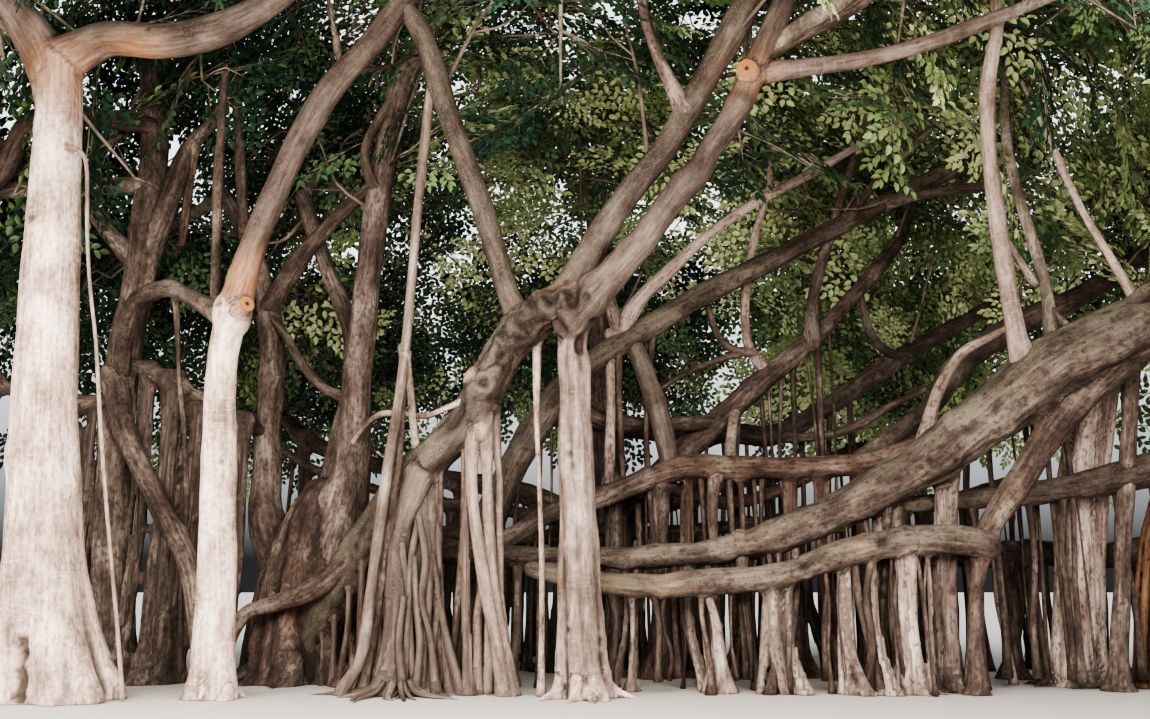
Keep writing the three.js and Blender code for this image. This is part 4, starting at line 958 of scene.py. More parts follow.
# Behind the left-hand trunks stands a grey one, with a prop slanting from it to the ground, and a mossy
# side limb has grown into both. They are in the shade of the crown; their bark is rougher, and its
# darker tones partly paint that shade.
LEFT_BACK_TRUNK = [(-2.9, -0.5, -0.4, 0.33), (-3.34, -0.3, 2.96, 0.275), (-3.39, -0.1, 5.42, 0.28),
    (-3.26, 0.1, 7.67, 0.3), (-3.34, 0.3, 10.06, 0.24), (-3.55, 0.4, 11.4, 0.2)]
DIAGONAL_LIMB = [(-3.5, -0.25, 5.1, 0.19), (-2.99, -0.7, 3.95, 0.185), (-2.27, -1, 2.84, 0.18),
    (-1.57, -1.35, 1.71, 0.175), (-1.05, -1.6, -0.4, 0.185)]
MOSSY_SIDE_LIMB = [(-0.7, -3.1, 5.45, 0.17), (-1.41, -2.7, 5.88, 0.138), (-1.95, -2.3, 6.14, 0.142),
    (-2.6, -1.7, 6.06, 0.146), (-3.09, -0.9, 5.6, 0.152), (-3.39, -0.1, 5, 0.156)]
left_back_bark = grow_bark("left_back_bark", grey_bark, [
    dict(route=LEFT_BACK_TRUNK, ribs=7, depth=0.2, toes=0.2, flare=0.3, seed=41, moss=0.2),
    dict(route=DIAGONAL_LIMB, ribs=4, collar=0.3, seed=42, moss=0.2)], voxel=0.055, seed=7)
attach(left_back_bark, TREE)
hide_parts("left_back_trunk", "diagonal_limb")

# The stain tones of mossy bark are a sunlit tan: every stain laid on it is a painted patch of sunlight.
SUNLIT_TAN = ((0.20, 0.135, 0.09), (0.42, 0.31, 0.22))
mossy_bark = bark_finish(
    "mossy_bark", ((0.034, 0.023, 0.019), (0.075, 0.053, 0.043), (0.135, 0.102, 0.084), (0.27, 0.22, 0.185)),
    SUNLIT_TAN, MOSS, (0.02, 0.013, 0.009), 0.88)
side_limb_bark = grow_bark("side_limb_bark", mossy_bark, [
    dict(route=MOSSY_SIDE_LIMB, ribs=4, depth=0.1, collar=0.4, seed=43, moss=0.6,
         gnarl=1.4)], voxel=0.04, seed=8)
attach(side_limb_bark, TREE)
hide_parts("mossy_side_limb")


# The low boughs of the right-hand half: one great bough sinks almost to the ground from the right-hand
# trunk, with a lower one beside it, both mossy on top and held up along their length by the roots they
# have let down.
GREAT_LOW_BOUGH = [(15.4, -2.4, 6.7, 0.52), (13.34, -2.6, 5.55, 0.5), (11.9, -2.6, 4.85, 0.455),
    (10.97, -2.5, 4.17, 0.425), (10.05, -2.4, 3.49, 0.39), (9.16, -2.2, 2.98, 0.32),
    (7.96, -2, 2.46, 0.26), (7.06, -1.8, 2.16, 0.217), (5.52, -1.5, 2, 0.19), (3.94, -1.3, 2.01, 0.175),
    (2.33, -1.2, 2.11, 0.165), (1.32, -1.48, 2.25, 0.15)]
RIGHT_PROP_LIMB = [(13, -2.58, 5.15, 0.29), (11.87, -2.56, 4.02, 0.243), (11.19, -2.55, 3.11, 0.21),
    (10.68, -2.55, 2.4, 0.17), (10.45, -2.55, 1.63, 0.115), (10.35, -2.55, 0.6, 0.1),
    (10.33, -2.55, -0.4, 0.13)]
LOWER_BOUGH = [(10.56, -2.56, 2.14, 0.208), (9.64, -2.56, 2.2, 0.196), (9.04, -2.56, 2.14, 0.194),
    (8.44, -2.54, 1.99, 0.193), (7.55, -2.44, 1.7, 0.18), (6.37, -2.3, 1.56, 0.165),
    (5.48, -2.2, 1.53, 0.16), (3.81, -2, 1.78, 0.13)]
LOW_RIGHT_BOUGH = [(15.4, -2, 3.9, 0.3), (13.5, -1.9, 3.3, 0.27), (12, -1.75, 3, 0.19),
    (10.9, -1.7, 2.88, 0.16), (9.3, -1.95, 2.76, 0.14)]
RIGHT_BACK_BOUGH = [(15.6, -1.4, 2.5, 0.23), (13.6, 0, 2.05, 0.21), (12.3, 0.2, 2.12, 0.205),
    (11.2, 0.1, 2, 0.18), (9.9, -0.3, 2.25, 0.14)]
FLUTED_PILLAR = [(12.38, -1.05, -0.4, 0.33), (12.52, -1.05, 1.32, 0.305), (12.7, -1.1, 2.91, 0.31),
    (12.9, -1.4, 4.4, 0.32), (12.9, -2.1, 5.3, 0.29)]
REAR_TWIN_PILLAR = [(9.21, -1.9, -0.4, 0.225), (9.23, -1.9, 1.33, 0.214), (9.32, -2.05, 3, 0.232)]
SHOULDER_PILLAR = [(10.04, -2.06, -0.4, 0.205), (10.1, -2.08, 1.33, 0.181), (10.18, -2.25, 3.35, 0.22)]
FORKED_FOOT_PILLAR = [(7.44, -2.4, -0.4, 0.15), (7.39, -2.4, 0.75, 0.16), (7.41, -2.43, 1.65, 0.168)]
FRONT_TWIN_PILLAR = [(9.39, -2.48, -0.4, 0.155), (9.39, -2.5, 1.05, 0.148), (9.42, -2.55, 2.15, 0.168)]
BUNDLED_PILLAR = [(8.54, -2.48, -0.4, 0.12), (8.49, -2.5, 0.76, 0.115), (8.47, -2.54, 2, 0.15)]
low_bough_bark = grow_bark("low_bough_bark", mossy_bark, [
    dict(route=GREAT_LOW_BOUGH, ribs=6, depth=0.09, collar=0.1, seed=51, moss=0.5, gnarl=2.3),
    dict(route=RIGHT_PROP_LIMB, ribs=5, depth=0.1, collar=0.3, flare=0.5, flare_height=0.26,
         seed=52, moss=0.3, red=0.3),
    dict(route=LOWER_BOUGH, ribs=4, depth=0.08, collar=0.2, seed=53, moss=0.5, gnarl=2.3),
    *prop_limbs(GREAT_LOW_BOUGH, 5, 0.55, 0.97, 0.072, 0.26, 11, pale=0.25),
    *prop_limbs(LOWER_BOUGH, 6, 0.08, 0.95, 0.052, 0.24, 23, pale=0.35),
    # The fluted pillar takes the full pale share, which paints sunlight on it.
    *strand_limbs(FLUTED_PILLAR, 8, 0.2, 0.3, 0.8, 0.52, 62, flare=0.4, flare_height=0.3,
                  head=0.5, pale=1),
    *strand_limbs(REAR_TWIN_PILLAR, 7, 0.17, 0.26, 0.8, 0.4, 63, flare=0.5, flare_height=0.3,
                  head=0.6, pale=0.2),
    *strand_limbs(SHOULDER_PILLAR, 7, 0.15, 0.25, 0.8, 0.4, 64, flare=0.5, flare_height=0.3,
                  head=0.6, pale=0.2),
    *strand_limbs(FORKED_FOOT_PILLAR, 4, 0.05, 0.8, 0.7, 0.5, 65, splay=0.25, head=0.8, pale=0.2),
    *strand_limbs(FRONT_TWIN_PILLAR, 5, 0.09, 0.15, 0.8, 0.55, 71, flare=0.6, flare_height=0.3,
                  head=0.8, pale=0.6),
    *strand_limbs(BUNDLED_PILLAR, 6, 0.08, 0.2, 0.8, 0.4, 75, flare=0.7, flare_height=0.26,
                  head=0.8, pale=0.4),
    *foot_roots(9.3, -2.2, 10, 0.4, 0.8, 0.05, 66, pale=0.2),
    *foot_roots(10.04, -2.06, 7, 0.3, 0.65, 0.05, 67),
    *foot_roots(12.38, -1.05, 9, 0.45, 0.9, 0.06, 69),
    *foot_roots(8.54, -2.48, 6, 0.22, 0.5, 0.04, 70, pale=0.3),
    *foot_roots(10.33, -2.55, 6, 0.13, 0.4, 0.035, 72)],
    voxel=0.05, seed=9,
    knots=[(9, -3.1, 2.31, 0.1, -0.13), (7.81, -3.1, 1.95, 0.075, -0.09), (8.48, -3.1, 2.19, 0.12, 0.07)],
    # Painted sunlit patches on the low boughs, in mossy bark's sunlit tan.
    stains_and_sunlit_patches=[(8.65, -2.75, 2.19, 0.2), (7.16, -2.2, 2.59, 0.3), (5.02, -2.4, 1.69, 0.3),
            (5.84, -2.45, 1.67, 0.3)])
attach(low_bough_bark, TREE)
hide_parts("great_low_bough", "right_prop_limb", "lower_bough", "fluted_pillar",
            "rear_twin_pillar", "shoulder_pillar", "forked_foot_pillar", "front_twin_pillar",
            "bundled_pillar")

back_right_bark = grow_bark("back_right_bark", mossy_bark, [
    dict(route=LOW_RIGHT_BOUGH, ribs=5, collar=0.3, seed=54, moss=0.5),
    dict(route=RIGHT_BACK_BOUGH, ribs=5, collar=0.3, seed=55, moss=0.4),
    *prop_limbs(RIGHT_BACK_BOUGH, 4, 0.12, 0.92, 0.11, 0.16, 31)], voxel=0.065, seed=10)
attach(back_right_bark, TREE)
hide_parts("low_right_bough", "right_back_bough")


# The right-hand trunk is a bundle of old roots, fluted from the foot to the fork, where the great bough
# leaves it.
RIGHT_TRUNK = [(15.7, -1.9, -0.4, 0.62), (15.5, -2, 1.8, 0.56), (15.35, -2.3, 4.3, 0.53),
    (15.45, -2.3, 6.6, 0.5), (16.1, -1.6, 8.4, 0.33)]
right_trunk_bark = grow_bark("right_trunk_bark", grey_bark, [
    dict(route=RIGHT_TRUNK, ribs=10, depth=0.22, toes=0.2, flare=0.3, seed=61, pale=0.25),
    *strand_limbs(RIGHT_TRUNK, 12, 0.3, 0.56, 1, 0.26, 60, flare=0.6, flare_height=0.3, pale=0.35),
    *foot_roots(15.7, -1.9, 10, 0.8, 1.4, 0.09, 59, pale=0.2)],
    voxel=0.075, seed=11)
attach(right_trunk_bark, TREE)
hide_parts("right_trunk")


# Two long pale shoots rise from the great bough into the crown, and a prop slants up behind them.
RIGHT_UPRIGHT = [(11.38, -2.6, 4.5, 0.19), (11.17, -2.7, 5.84, 0.135), (10.98, -2.9, 7.38, 0.126),
    (10.9, -3.1, 8.94, 0.118), (11.02, -3.42, 10.1, 0.112), (11.02, -3.4, 10.95, 0.1)]
FAR_RIGHT_UPRIGHT = [(13.36, -2.45, 5.6, 0.095), (13.01, -2.25, 6.63, 0.076), (12.65, -2.15, 7.49, 0.07),
    (12.32, -1.95, 8.77, 0.062), (12.05, -1.7, 9.9, 0.045)]
SLANTING_PROP = [(6.2, 0.32, 3.56, 0.19), (5.93, 0.42, 4.79, 0.18), (5.5, 0.5, 6, 0.165)]
pale_uprights_bark = grow_bark("pale_uprights_bark", pale_bark, [
    dict(route=RIGHT_UPRIGHT, ribs=3, collar=0.5, seed=72, moss=0.3, dark=0.5),
    dict(route=FAR_RIGHT_UPRIGHT, ribs=3, collar=0.5, seed=73, moss=0.2, dark=0.3),
    dict(route=SLANTING_PROP, ribs=3, seed=74, dark=0.9, sawn=True)],
    voxel=0.042, seed=13)
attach(pale_uprights_bark, TREE)
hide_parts("right_upright", "far_right_upright", "slanting_prop")


# Young roots and the long low bough behind are reddish brown: a loose bundle of red strands hangs at
# the right, and the bough runs from the rear trunk round to the right-hand half on a row of thin props.
RED_ROOT_BUNDLE = [(13.41, -1.4, -0.4, 0.19), (13.6, -1.5, 1.95, 0.165), (13.8, -1.8, 3.4, 0.15),
    (13.95, -2.35, 5.5, 0.19)]
BACK_LOW_BOUGH = [(5.33, 6.45, 2.35, 0.24), (5.25, 4.3, 2.6, 0.23), (5.28, 2.2, 2.8, 0.222),
    (5.99, 0.3, 3.43, 0.225), (7.22, 0.3, 3.56, 0.228), (8.45, 0.25, 3.56, 0.211), (9.63, 0, 3.65, 0.19),
    (10.78, -0.5, 4, 0.175), (11.9, -1.4, 4.5, 0.17), (12.5, -2.3, 4.95, 0.17)]
red_bark = bark_finish(
    "red_bark", ((0.036, 0.022, 0.017), (0.085, 0.052, 0.04), (0.15, 0.10, 0.078), (0.28, 0.21, 0.17)),
    RUFOUS, MOSS, (0.03, 0.016, 0.01), 0.82)
red_roots_bark = grow_bark("red_roots_bark", red_bark, [
    *strand_limbs(RED_ROOT_BUNDLE, 11, 0.12, 0.55, 0.8, 0.3, 81, flare=0.6, flare_height=0.26)],
    voxel=0.035, seed=14, stains_and_sunlit_patches=[(13.6, -1.5, 1.5, 1.4)])
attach(red_roots_bark, TREE)
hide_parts("red_root_bundle")

back_low_bark = grow_bark("back_low_bark", red_bark, [
    dict(route=BACK_LOW_BOUGH, ribs=5, depth=0.07, seed=82, moss=0.35, gnarl=1.5),
    *prop_limbs(BACK_LOW_BOUGH, 7, 0.3, 0.76, 0.105, 0.24, 43)], voxel=0.055, seed=15)
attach(back_low_bark, TREE)
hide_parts("back_low_bough")


# Behind the front row two boughs rise to the right on trunks of their own, and the rear trunk carries
# the far side of the crown on a bough each way, with props under them. All in shade, and only rough
# from a distance.
LONG_BACK_BOUGH = [(2.6, 0.6, -0.4, 0.29), (2.9, 0.55, 2.3, 0.28), (4.23, 0.5, 4.9, 0.25),
    (6.05, 0.5, 6.28, 0.218), (8.77, 1.1, 7.88, 0.19), (10.45, 1.5, 8.81, 0.176), (12.45, 2, 9.93, 0.16),
    (13.8, 2.4, 10.7, 0.145)]
RISING_BACK_BOUGH = [(5.56, 2.5, -0.4, 0.265), (5.49, 2.25, 2.7, 0.255), (7.61, 1.7, 4.97, 0.226),
    (8.82, 1.8, 5.97, 0.205), (9.9, 2.2, 7.03, 0.177), (11.21, 3.3, 8.52, 0.16), (11.9, 4.2, 9.7, 0.145)]
REAR_TRUNK = [(5.5, 6.5, -0.4, 0.48), (5.35, 6.55, 2.2, 0.42), (5.2, 6.7, 5.2, 0.33),
    (5.05, 6.8, 8.2, 0.23), (5, 6.9, 9.6, 0.19)]
REAR_LEFT_BOUGH = [(5.35, 6.55, 2.7, 0.29), (3.2, 6.7, 3.65, 0.25), (0.5, 7.1, 4.15, 0.225),
    (-1.8, 8, 4.9, 0.195), (-3.3, 9.2, 6, 0.165)]
REAR_RIGHT_BOUGH = [(5.35, 6.55, 2.9, 0.29), (7.7, 6.5, 3.8, 0.255), (10.2, 6.7, 4.3, 0.225),
    (12.6, 7.5, 5.1, 0.195), (13.6, 8.6, 6, 0.165)]
long_back_bark = grow_bark("long_back_bark", mossy_bark, [
    dict(route=LONG_BACK_BOUGH, ribs=5, flare=0.3, flare_height=0.3, seed=91, moss=0.6)],
    voxel=0.065, seed=16)
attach(long_back_bark, TREE)
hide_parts("long_back_bough")

rear_bark = grow_bark("rear_bark", grey_bark, [
    dict(route=RISING_BACK_BOUGH, ribs=5, flare=0.4, flare_height=0.3, seed=92, moss=0.3),
    dict(route=REAR_TRUNK, ribs=8, depth=0.2, toes=0.2, flare=0.3, seed=93, moss=0.2),
    dict(route=REAR_LEFT_BOUGH, ribs=4, collar=0.3, seed=94, moss=0.3),
    dict(route=REAR_RIGHT_BOUGH, ribs=4, collar=0.3, seed=95, moss=0.3),
    *prop_limbs(REAR_LEFT_BOUGH, 5, 0.15, 0.85, 0.13, 0.42, 59),
    *prop_limbs(REAR_RIGHT_BOUGH, 5, 0.15, 0.85, 0.13, 0.42, 71)], voxel=0.1, seed=17)
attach(rear_bark, TREE)
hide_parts("rising_back_bough", "rear_trunk", "rear_left_bough", "rear_right_bough")


# Lesser boughs that run through the open space under the crown, and one long straight root that hangs
# from the crossing limb to the ground.
LESSER_BOUGHS = [
    [(-3.35, 0.1, 9.9, 0.17), (-4.59, -1.5, 9.33, 0.187), (-5.33, -1.2, 8.42, 0.205),
     (-6.42, -0.9, 7.9, 0.15), (-7.6, -0.6, 8.3, 0.1)],
    [(5.25, 3.6, 2.7, 0.2), (7.06, 3.5, 4.46, 0.225), (8.5, 3.5, 4.56, 0.226), (9.83, 3.8, 5.23, 0.209),
     (10.99, 4.1, 6.03, 0.213), (12.23, 4.5, 6.77, 0.196), (14.01, 5, 7.79, 0.15)],
    [(9.3, 0.15, 3.6, 0.16), (10.93, 1, 4.7, 0.184), (11.62, 1, 5.54, 0.26), (12.91, 1.3, 6.37, 0.26),
     (14.39, 1.5, 7.1, 0.22), (15.78, 1.8, 7.99, 0.17)],
    [(0.55, -3.35, 8.7, 0.1), (0.9, -3.4, 9.2, 0.09), (0.75, -3.6, 10.2, 0.08), (0.66, -3.7, 11, 0.06)],
    [(-3.38, -0.1, 5.4, 0.15), (-2.6, -0.6, 5.1, 0.13), (-1.8, -0.4, 4.6, 0.12), (-1, 0.35, 4.2, 0.12)],
    [(-3.36, -0.2, 4.7, 0.14), (-4.3, -0.7, 4.6, 0.12), (-5.5, -0.9, 5, 0.1), (-6.8, -0.8, 5.9, 0.07)],
    [(0.3, 0.5, 2.2, 0.16), (1.6, 1.6, 2.5, 0.15), (3.4, 1.9, 2.4, 0.14), (5.4, 2.3, 2.6, 0.14)],
    [(5.5, 2.3, 2.5, 0.15), (7.3, 1.9, 2.6, 0.14), (9.3, 1.5, 2.9, 0.13), (11.4, 1.9, 3.1, 0.12),
     (13.4, 2.2, 3.7, 0.1)],
    [(5.4, 4.4, 2.6, 0.15), (3.4, 4.2, 3, 0.14), (1.2, 3.8, 3.3, 0.13), (-0.9, 3.9, 3.9, 0.11),
     (-2.4, 4.4, 4.9, 0.09)]]
# The pale rows are partly painted sunlight on limbs that catch it, the dark rows partly painted shade.
CROWN_LIMBS = [
    ("pale", [(5.28, 0.5, 5.94, 0.163), (5.67, 0.2, 6.58, 0.126), (6.11, 0, 7.01, 0.116),
        (6.79, 0, 7.64, 0.099), (7.74, 0.2, 8.37, 0.091), (8.76, 0.5, 9, 0.082), (9.77, 0.8, 9.67, 0.076),
        (10.88, 1, 10.32, 0.058)]),
    ("", [(5.06, 0.2, 6.95, 0.09), (5.15, 0.3, 6.45, 0.126), (5.33, 0.45, 5.99, 0.163)]),
    ("dark", [(9.06, 1.8, 6.15, 0.154), (9.09, 1.6, 6.93, 0.116), (9.27, 1.5, 7.66, 0.104),
        (9.46, 1.4, 8.23, 0.097), (9.69, 1.3, 9.01, 0.085), (10.07, 1.2, 10.08, 0.074),
        (10.32, 1.1, 11.03, 0.059)]),
    ("pale", [(8.27, 1.75, 5.43, 0.115), (7.83, 1.5, 5.93, 0.103), (7.73, 1.4, 6.53, 0.095),
        (7.78, 1.3, 7.25, 0.088), (7.96, 1.3, 8.12, 0.081), (8.24, 1.3, 9.05, 0.07),
        (8.36, 1.3, 9.91, 0.059)]),
    ("dark", [(7.86, 1.5, 5.89, 0.095), (7.52, 1.5, 5.93, 0.076), (7.21, 1.5, 6.24, 0.072),
        (6.98, 1.5, 6.98, 0.058)]),
    ("", [(7.86, 1.5, 5.93, 0.076), (7.29, 1.5, 5.75, 0.068), (6.64, 1.5, 5.5, 0.057),
        (6.02, 1.6, 5.13, 0.049)]),
    ("dark", [(7.17, 3.5, 4.5, 0.164), (6.25, 3, 4.47, 0.13), (4.99, 2.6, 4.6, 0.118),
        (3.87, 2.4, 4.71, 0.098)]),
    ("", [(8.44, 3.4, 4.48, 0.122), (9.23, 2.9, 4.44, 0.088), (9.97, 2.6, 4.58, 0.083),
        (10.72, 2.4, 5.01, 0.075), (11.36, 2.3, 5.29, 0.059)]),
    ("pale", [(10.51, -0.4, 3.97, 0.136), (10.6, -0.6, 4.59, 0.102), (10.82, -0.8, 5.09, 0.091),
        (11.08, -0.9, 5.43, 0.084), (11.48, -1, 5.63, 0.074), (11.93, -1, 5.86, 0.067)]),
    ("", [(11.59, 4.2, 6.33, 0.129), (10.98, 3.8, 6.42, 0.093), (10.62, 3.5, 6.81, 0.084),
        (10.42, 3.2, 7.51, 0.062)]),
    ("pale", [(11.83, -2.1, 6.26, 0.064), (11.46, -2.4, 6.63, 0.047), (11.1, -2.8, 6.87, 0.046)]),
    ("", [(12.23, -2.5, 5.34, 0.077), (12.06, -2.3, 5.69, 0.053), (11.94, -2.1, 6.03, 0.048)]),
    ("dark", [(9.74, 1.3, 8.48, 0.116), (10.12, 1.1, 8.94, 0.088), (10.67, 0.9, 9.51, 0.076),
        (11.32, 0.8, 10.12, 0.057)]),
    ("dark", [(10.53, 1.5, 8.83, 0.137), (11.05, 1.2, 8.89, 0.104), (11.75, 1, 8.94, 0.092),
        (12.58, 0.9, 8.99, 0.076)]),
    ("", [(6.2, -3, 8.79, 0.14), (5.95, -3.1, 9.31, 0.103), (5.75, -3.2, 9.76, 0.093),
        (5.6, -3.2, 10.27, 0.088), (5.51, -3.2, 10.99, 0.079)]),
    ("", [(7.31, -3.6, 9.43, 0.152), (7.95, -3.5, 9.84, 0.132), (8.61, -3.5, 10.19, 0.123),
        (9.28, -3.5, 10.68, 0.108)]),
    ("", [(-3.24, 0.1, 7.37, 0.216), (-2.95, 0, 8.09, 0.199), (-2.72, 0, 8.78, 0.182),
        (-2.56, 0.1, 9.43, 0.166), (-2.17, 0.2, 10.06, 0.112), (-1.9, 0.3, 10.87, 0.075)]),
    ("", [(-3.28, 0.1, 7.18, 0.216), (-3.8, -0.1, 7.68, 0.161), (-4.22, -0.3, 8.18, 0.143),
        (-4.69, -0.5, 8.52, 0.142), (-5.3, -0.7, 8.89, 0.123), (-5.98, -0.8, 9.44, 0.106)]),
    ("dark", [(-0.96, -2.9, 5.67, 0.076), (-1.21, -2.2, 6.79, 0.073), (-1.39, -1.8, 8.11, 0.083),
        (-1.49, -1.5, 9.3, 0.071), (-1.58, -1.2, 10.42, 0.052)]),
    ("dark", [(-1.83, 1.4, 8.07, 0.116), (-1.76, 0.8, 8.57, 0.094), (-1.73, 0.4, 9.12, 0.093),
        (-1.76, 0.2, 10.02, 0.093), (-1.8, 0, 11, 0.074)]),
    ("", [(0.4, 0.6, 4.86, 0.108), (-0.01, 0.5, 5.02, 0.09), (-0.44, 0.4, 5.48, 0.083),
        (-0.74, 0.5, 5.98, 0.076), (-1.12, 0.8, 6.39, 0.081)]),
    ("dark", [(-1.14, 0.9, 6.64, 0.167), (-0.81, 0.8, 7.19, 0.168), (-0.45, 0.7, 7.7, 0.149),
        (0.07, 0.5, 8.22, 0.13), (0.7, 0.2, 8.66, 0.128), (1.07, -0.1, 9.04, 0.109)]),
    ("", [(1.02, -0.2, 8.4, 0.108), (0.81, -0.5, 8.74, 0.089), (0.8, -0.55, 9.23, 0.082),
        (0.98, -0.45, 9.78, 0.079), (1.32, -0.25, 10.37, 0.091)]),
    ("", [(-1.17, -1, -0.1, 0.095), (-1.03, -1, 0.69, 0.112), (-0.8, -1, 1.1, 0.128),
        (-0.36, -1.1, 1.26, 0.144), (0.29, -1.2, 1.48, 0.159), (0.91, -1.4, 1.91, 0.158),
        (1.48, -1.7, 2.55, 0.172)]),
    ("", [(5.78, 0.3, 3.39, 0.175), (4.79, 0.1, 2.99, 0.164), (4, 0, 2.71, 0.154),
        (3.33, -0.2, 2.3, 0.152), (2.77, -0.6, 2.02, 0.132), (1.72, -1.3, 2.07, 0.111)]),
    ("red", [(6.02, 0.3, 3.25, 0.123), (6.6, 0.8, 3.15, 0.108), (7.3, 1, 3.02, 0.127),
        (7.99, 0.8, 3.15, 0.125), (8.55, 0.3, 3.42, 0.123)]),
    ("dark", [(4.23, 0.5, 4.88, 0.162), (4.96, 0.9, 4.54, 0.146), (5.99, 1.3, 4.46, 0.13),
        (7.1, 1.7, 4.58, 0.152)])]
lesser_bark = grow_bark("lesser_boughs_bark", grey_bark, [
    *[dict(route=route, ribs=4, depth=0.08, seed=96 + n, moss=0.3, dark=0.5)
      for n, route in enumerate(LESSER_BOUGHS)],
    *prop_limbs(LESSER_BOUGHS[4], 6, 0.05, 0.95, 0.11, 0.25, 120, dark=0.5),
    *prop_limbs(LESSER_BOUGHS[5], 5, 0.08, 0.8, 0.12, 0.3, 121, dark=0.3),
    *prop_limbs(LESSER_BOUGHS[6], 7, 0.1, 0.95, 0.1, 0.3, 122, dark=0.8),
    *prop_limbs(LESSER_BOUGHS[7], 9, 0.08, 0.95, 0.1, 0.3, 123, dark=0.8),
    *prop_limbs(LESSER_BOUGHS[8], 6, 0.1, 0.85, 0.1, 0.3, 124, dark=0.8)],
    voxel=0.09, seed=18,
    loose=traced_limbs(CROWN_LIMBS, 500, ring_step=0.14, collar=0.3, depth=0.08, moss=0.3, gnarl=1.4))
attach(lesser_bark, TREE)

POLE_ROOT = [(1.06, -2.6, -0.23, 0.115), (1.14, -2.6, 0.07, 0.094), (1.4, -2.65, 0.56, 0.087),
    (1.52, -2.7, 1.56, 0.082), (1.63, -2.75, 2.5, 0.08), (1.73, -2.8, 3.38, 0.08),
    (1.86, -2.85, 4.27, 0.078), (1.97, -2.9, 5.34, 0.075), (2.11, -3.05, 7.35, 0.076),
    (2.29, -3.25, 9.3, 0.071)]
pole_root_bark = grow_bark("pole_root_bark", pale_bark, [], 0.04, seed=19, loose=[
    dict(route=POLE_ROOT, ribs=3, collar=0.3, seed=101, dark=0.8)])
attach(pole_root_bark, TREE)


# Hanging roots: thin aerial roots that the boughs have let down, some already in the ground and
# thickening into pillars. They stand close together under the boughs behind the front row.
HANGING_ROOTS = [
    (BACK_LOW_BOUGH, 34, 0.2, 0.95), (LOWER_BOUGH, 14, 0.1, 0.95), (GREAT_LOW_BOUGH, 24, 0.42, 0.97),
    (RISING_BACK_BOUGH, 12, 0.2, 0.6), (REAR_RIGHT_BOUGH, 16, 0.1, 0.8), (REAR_LEFT_BOUGH, 12, 0.1, 0.8),
    (RIGHT_BACK_BOUGH, 14, 0.15, 0.95), (LOW_RIGHT_BOUGH, 8, 0.2, 0.9), (LONG_BACK_BOUGH, 8, 0.2, 0.45),
    (LESSER_BOUGHS[1], 12, 0.1, 0.6), (LOW_LEFT_LIMB, 4, 0.3, 0.8), (LESSER_BOUGHS[4], 10, 0.05, 0.95),
    (LESSER_BOUGHS[5], 8, 0.05, 0.9), (LESSER_BOUGHS[6], 16, 0.05, 0.95), (LESSER_BOUGHS[7], 22, 0.05, 0.95),
    (LESSER_BOUGHS[8], 14, 0.05, 0.95)]
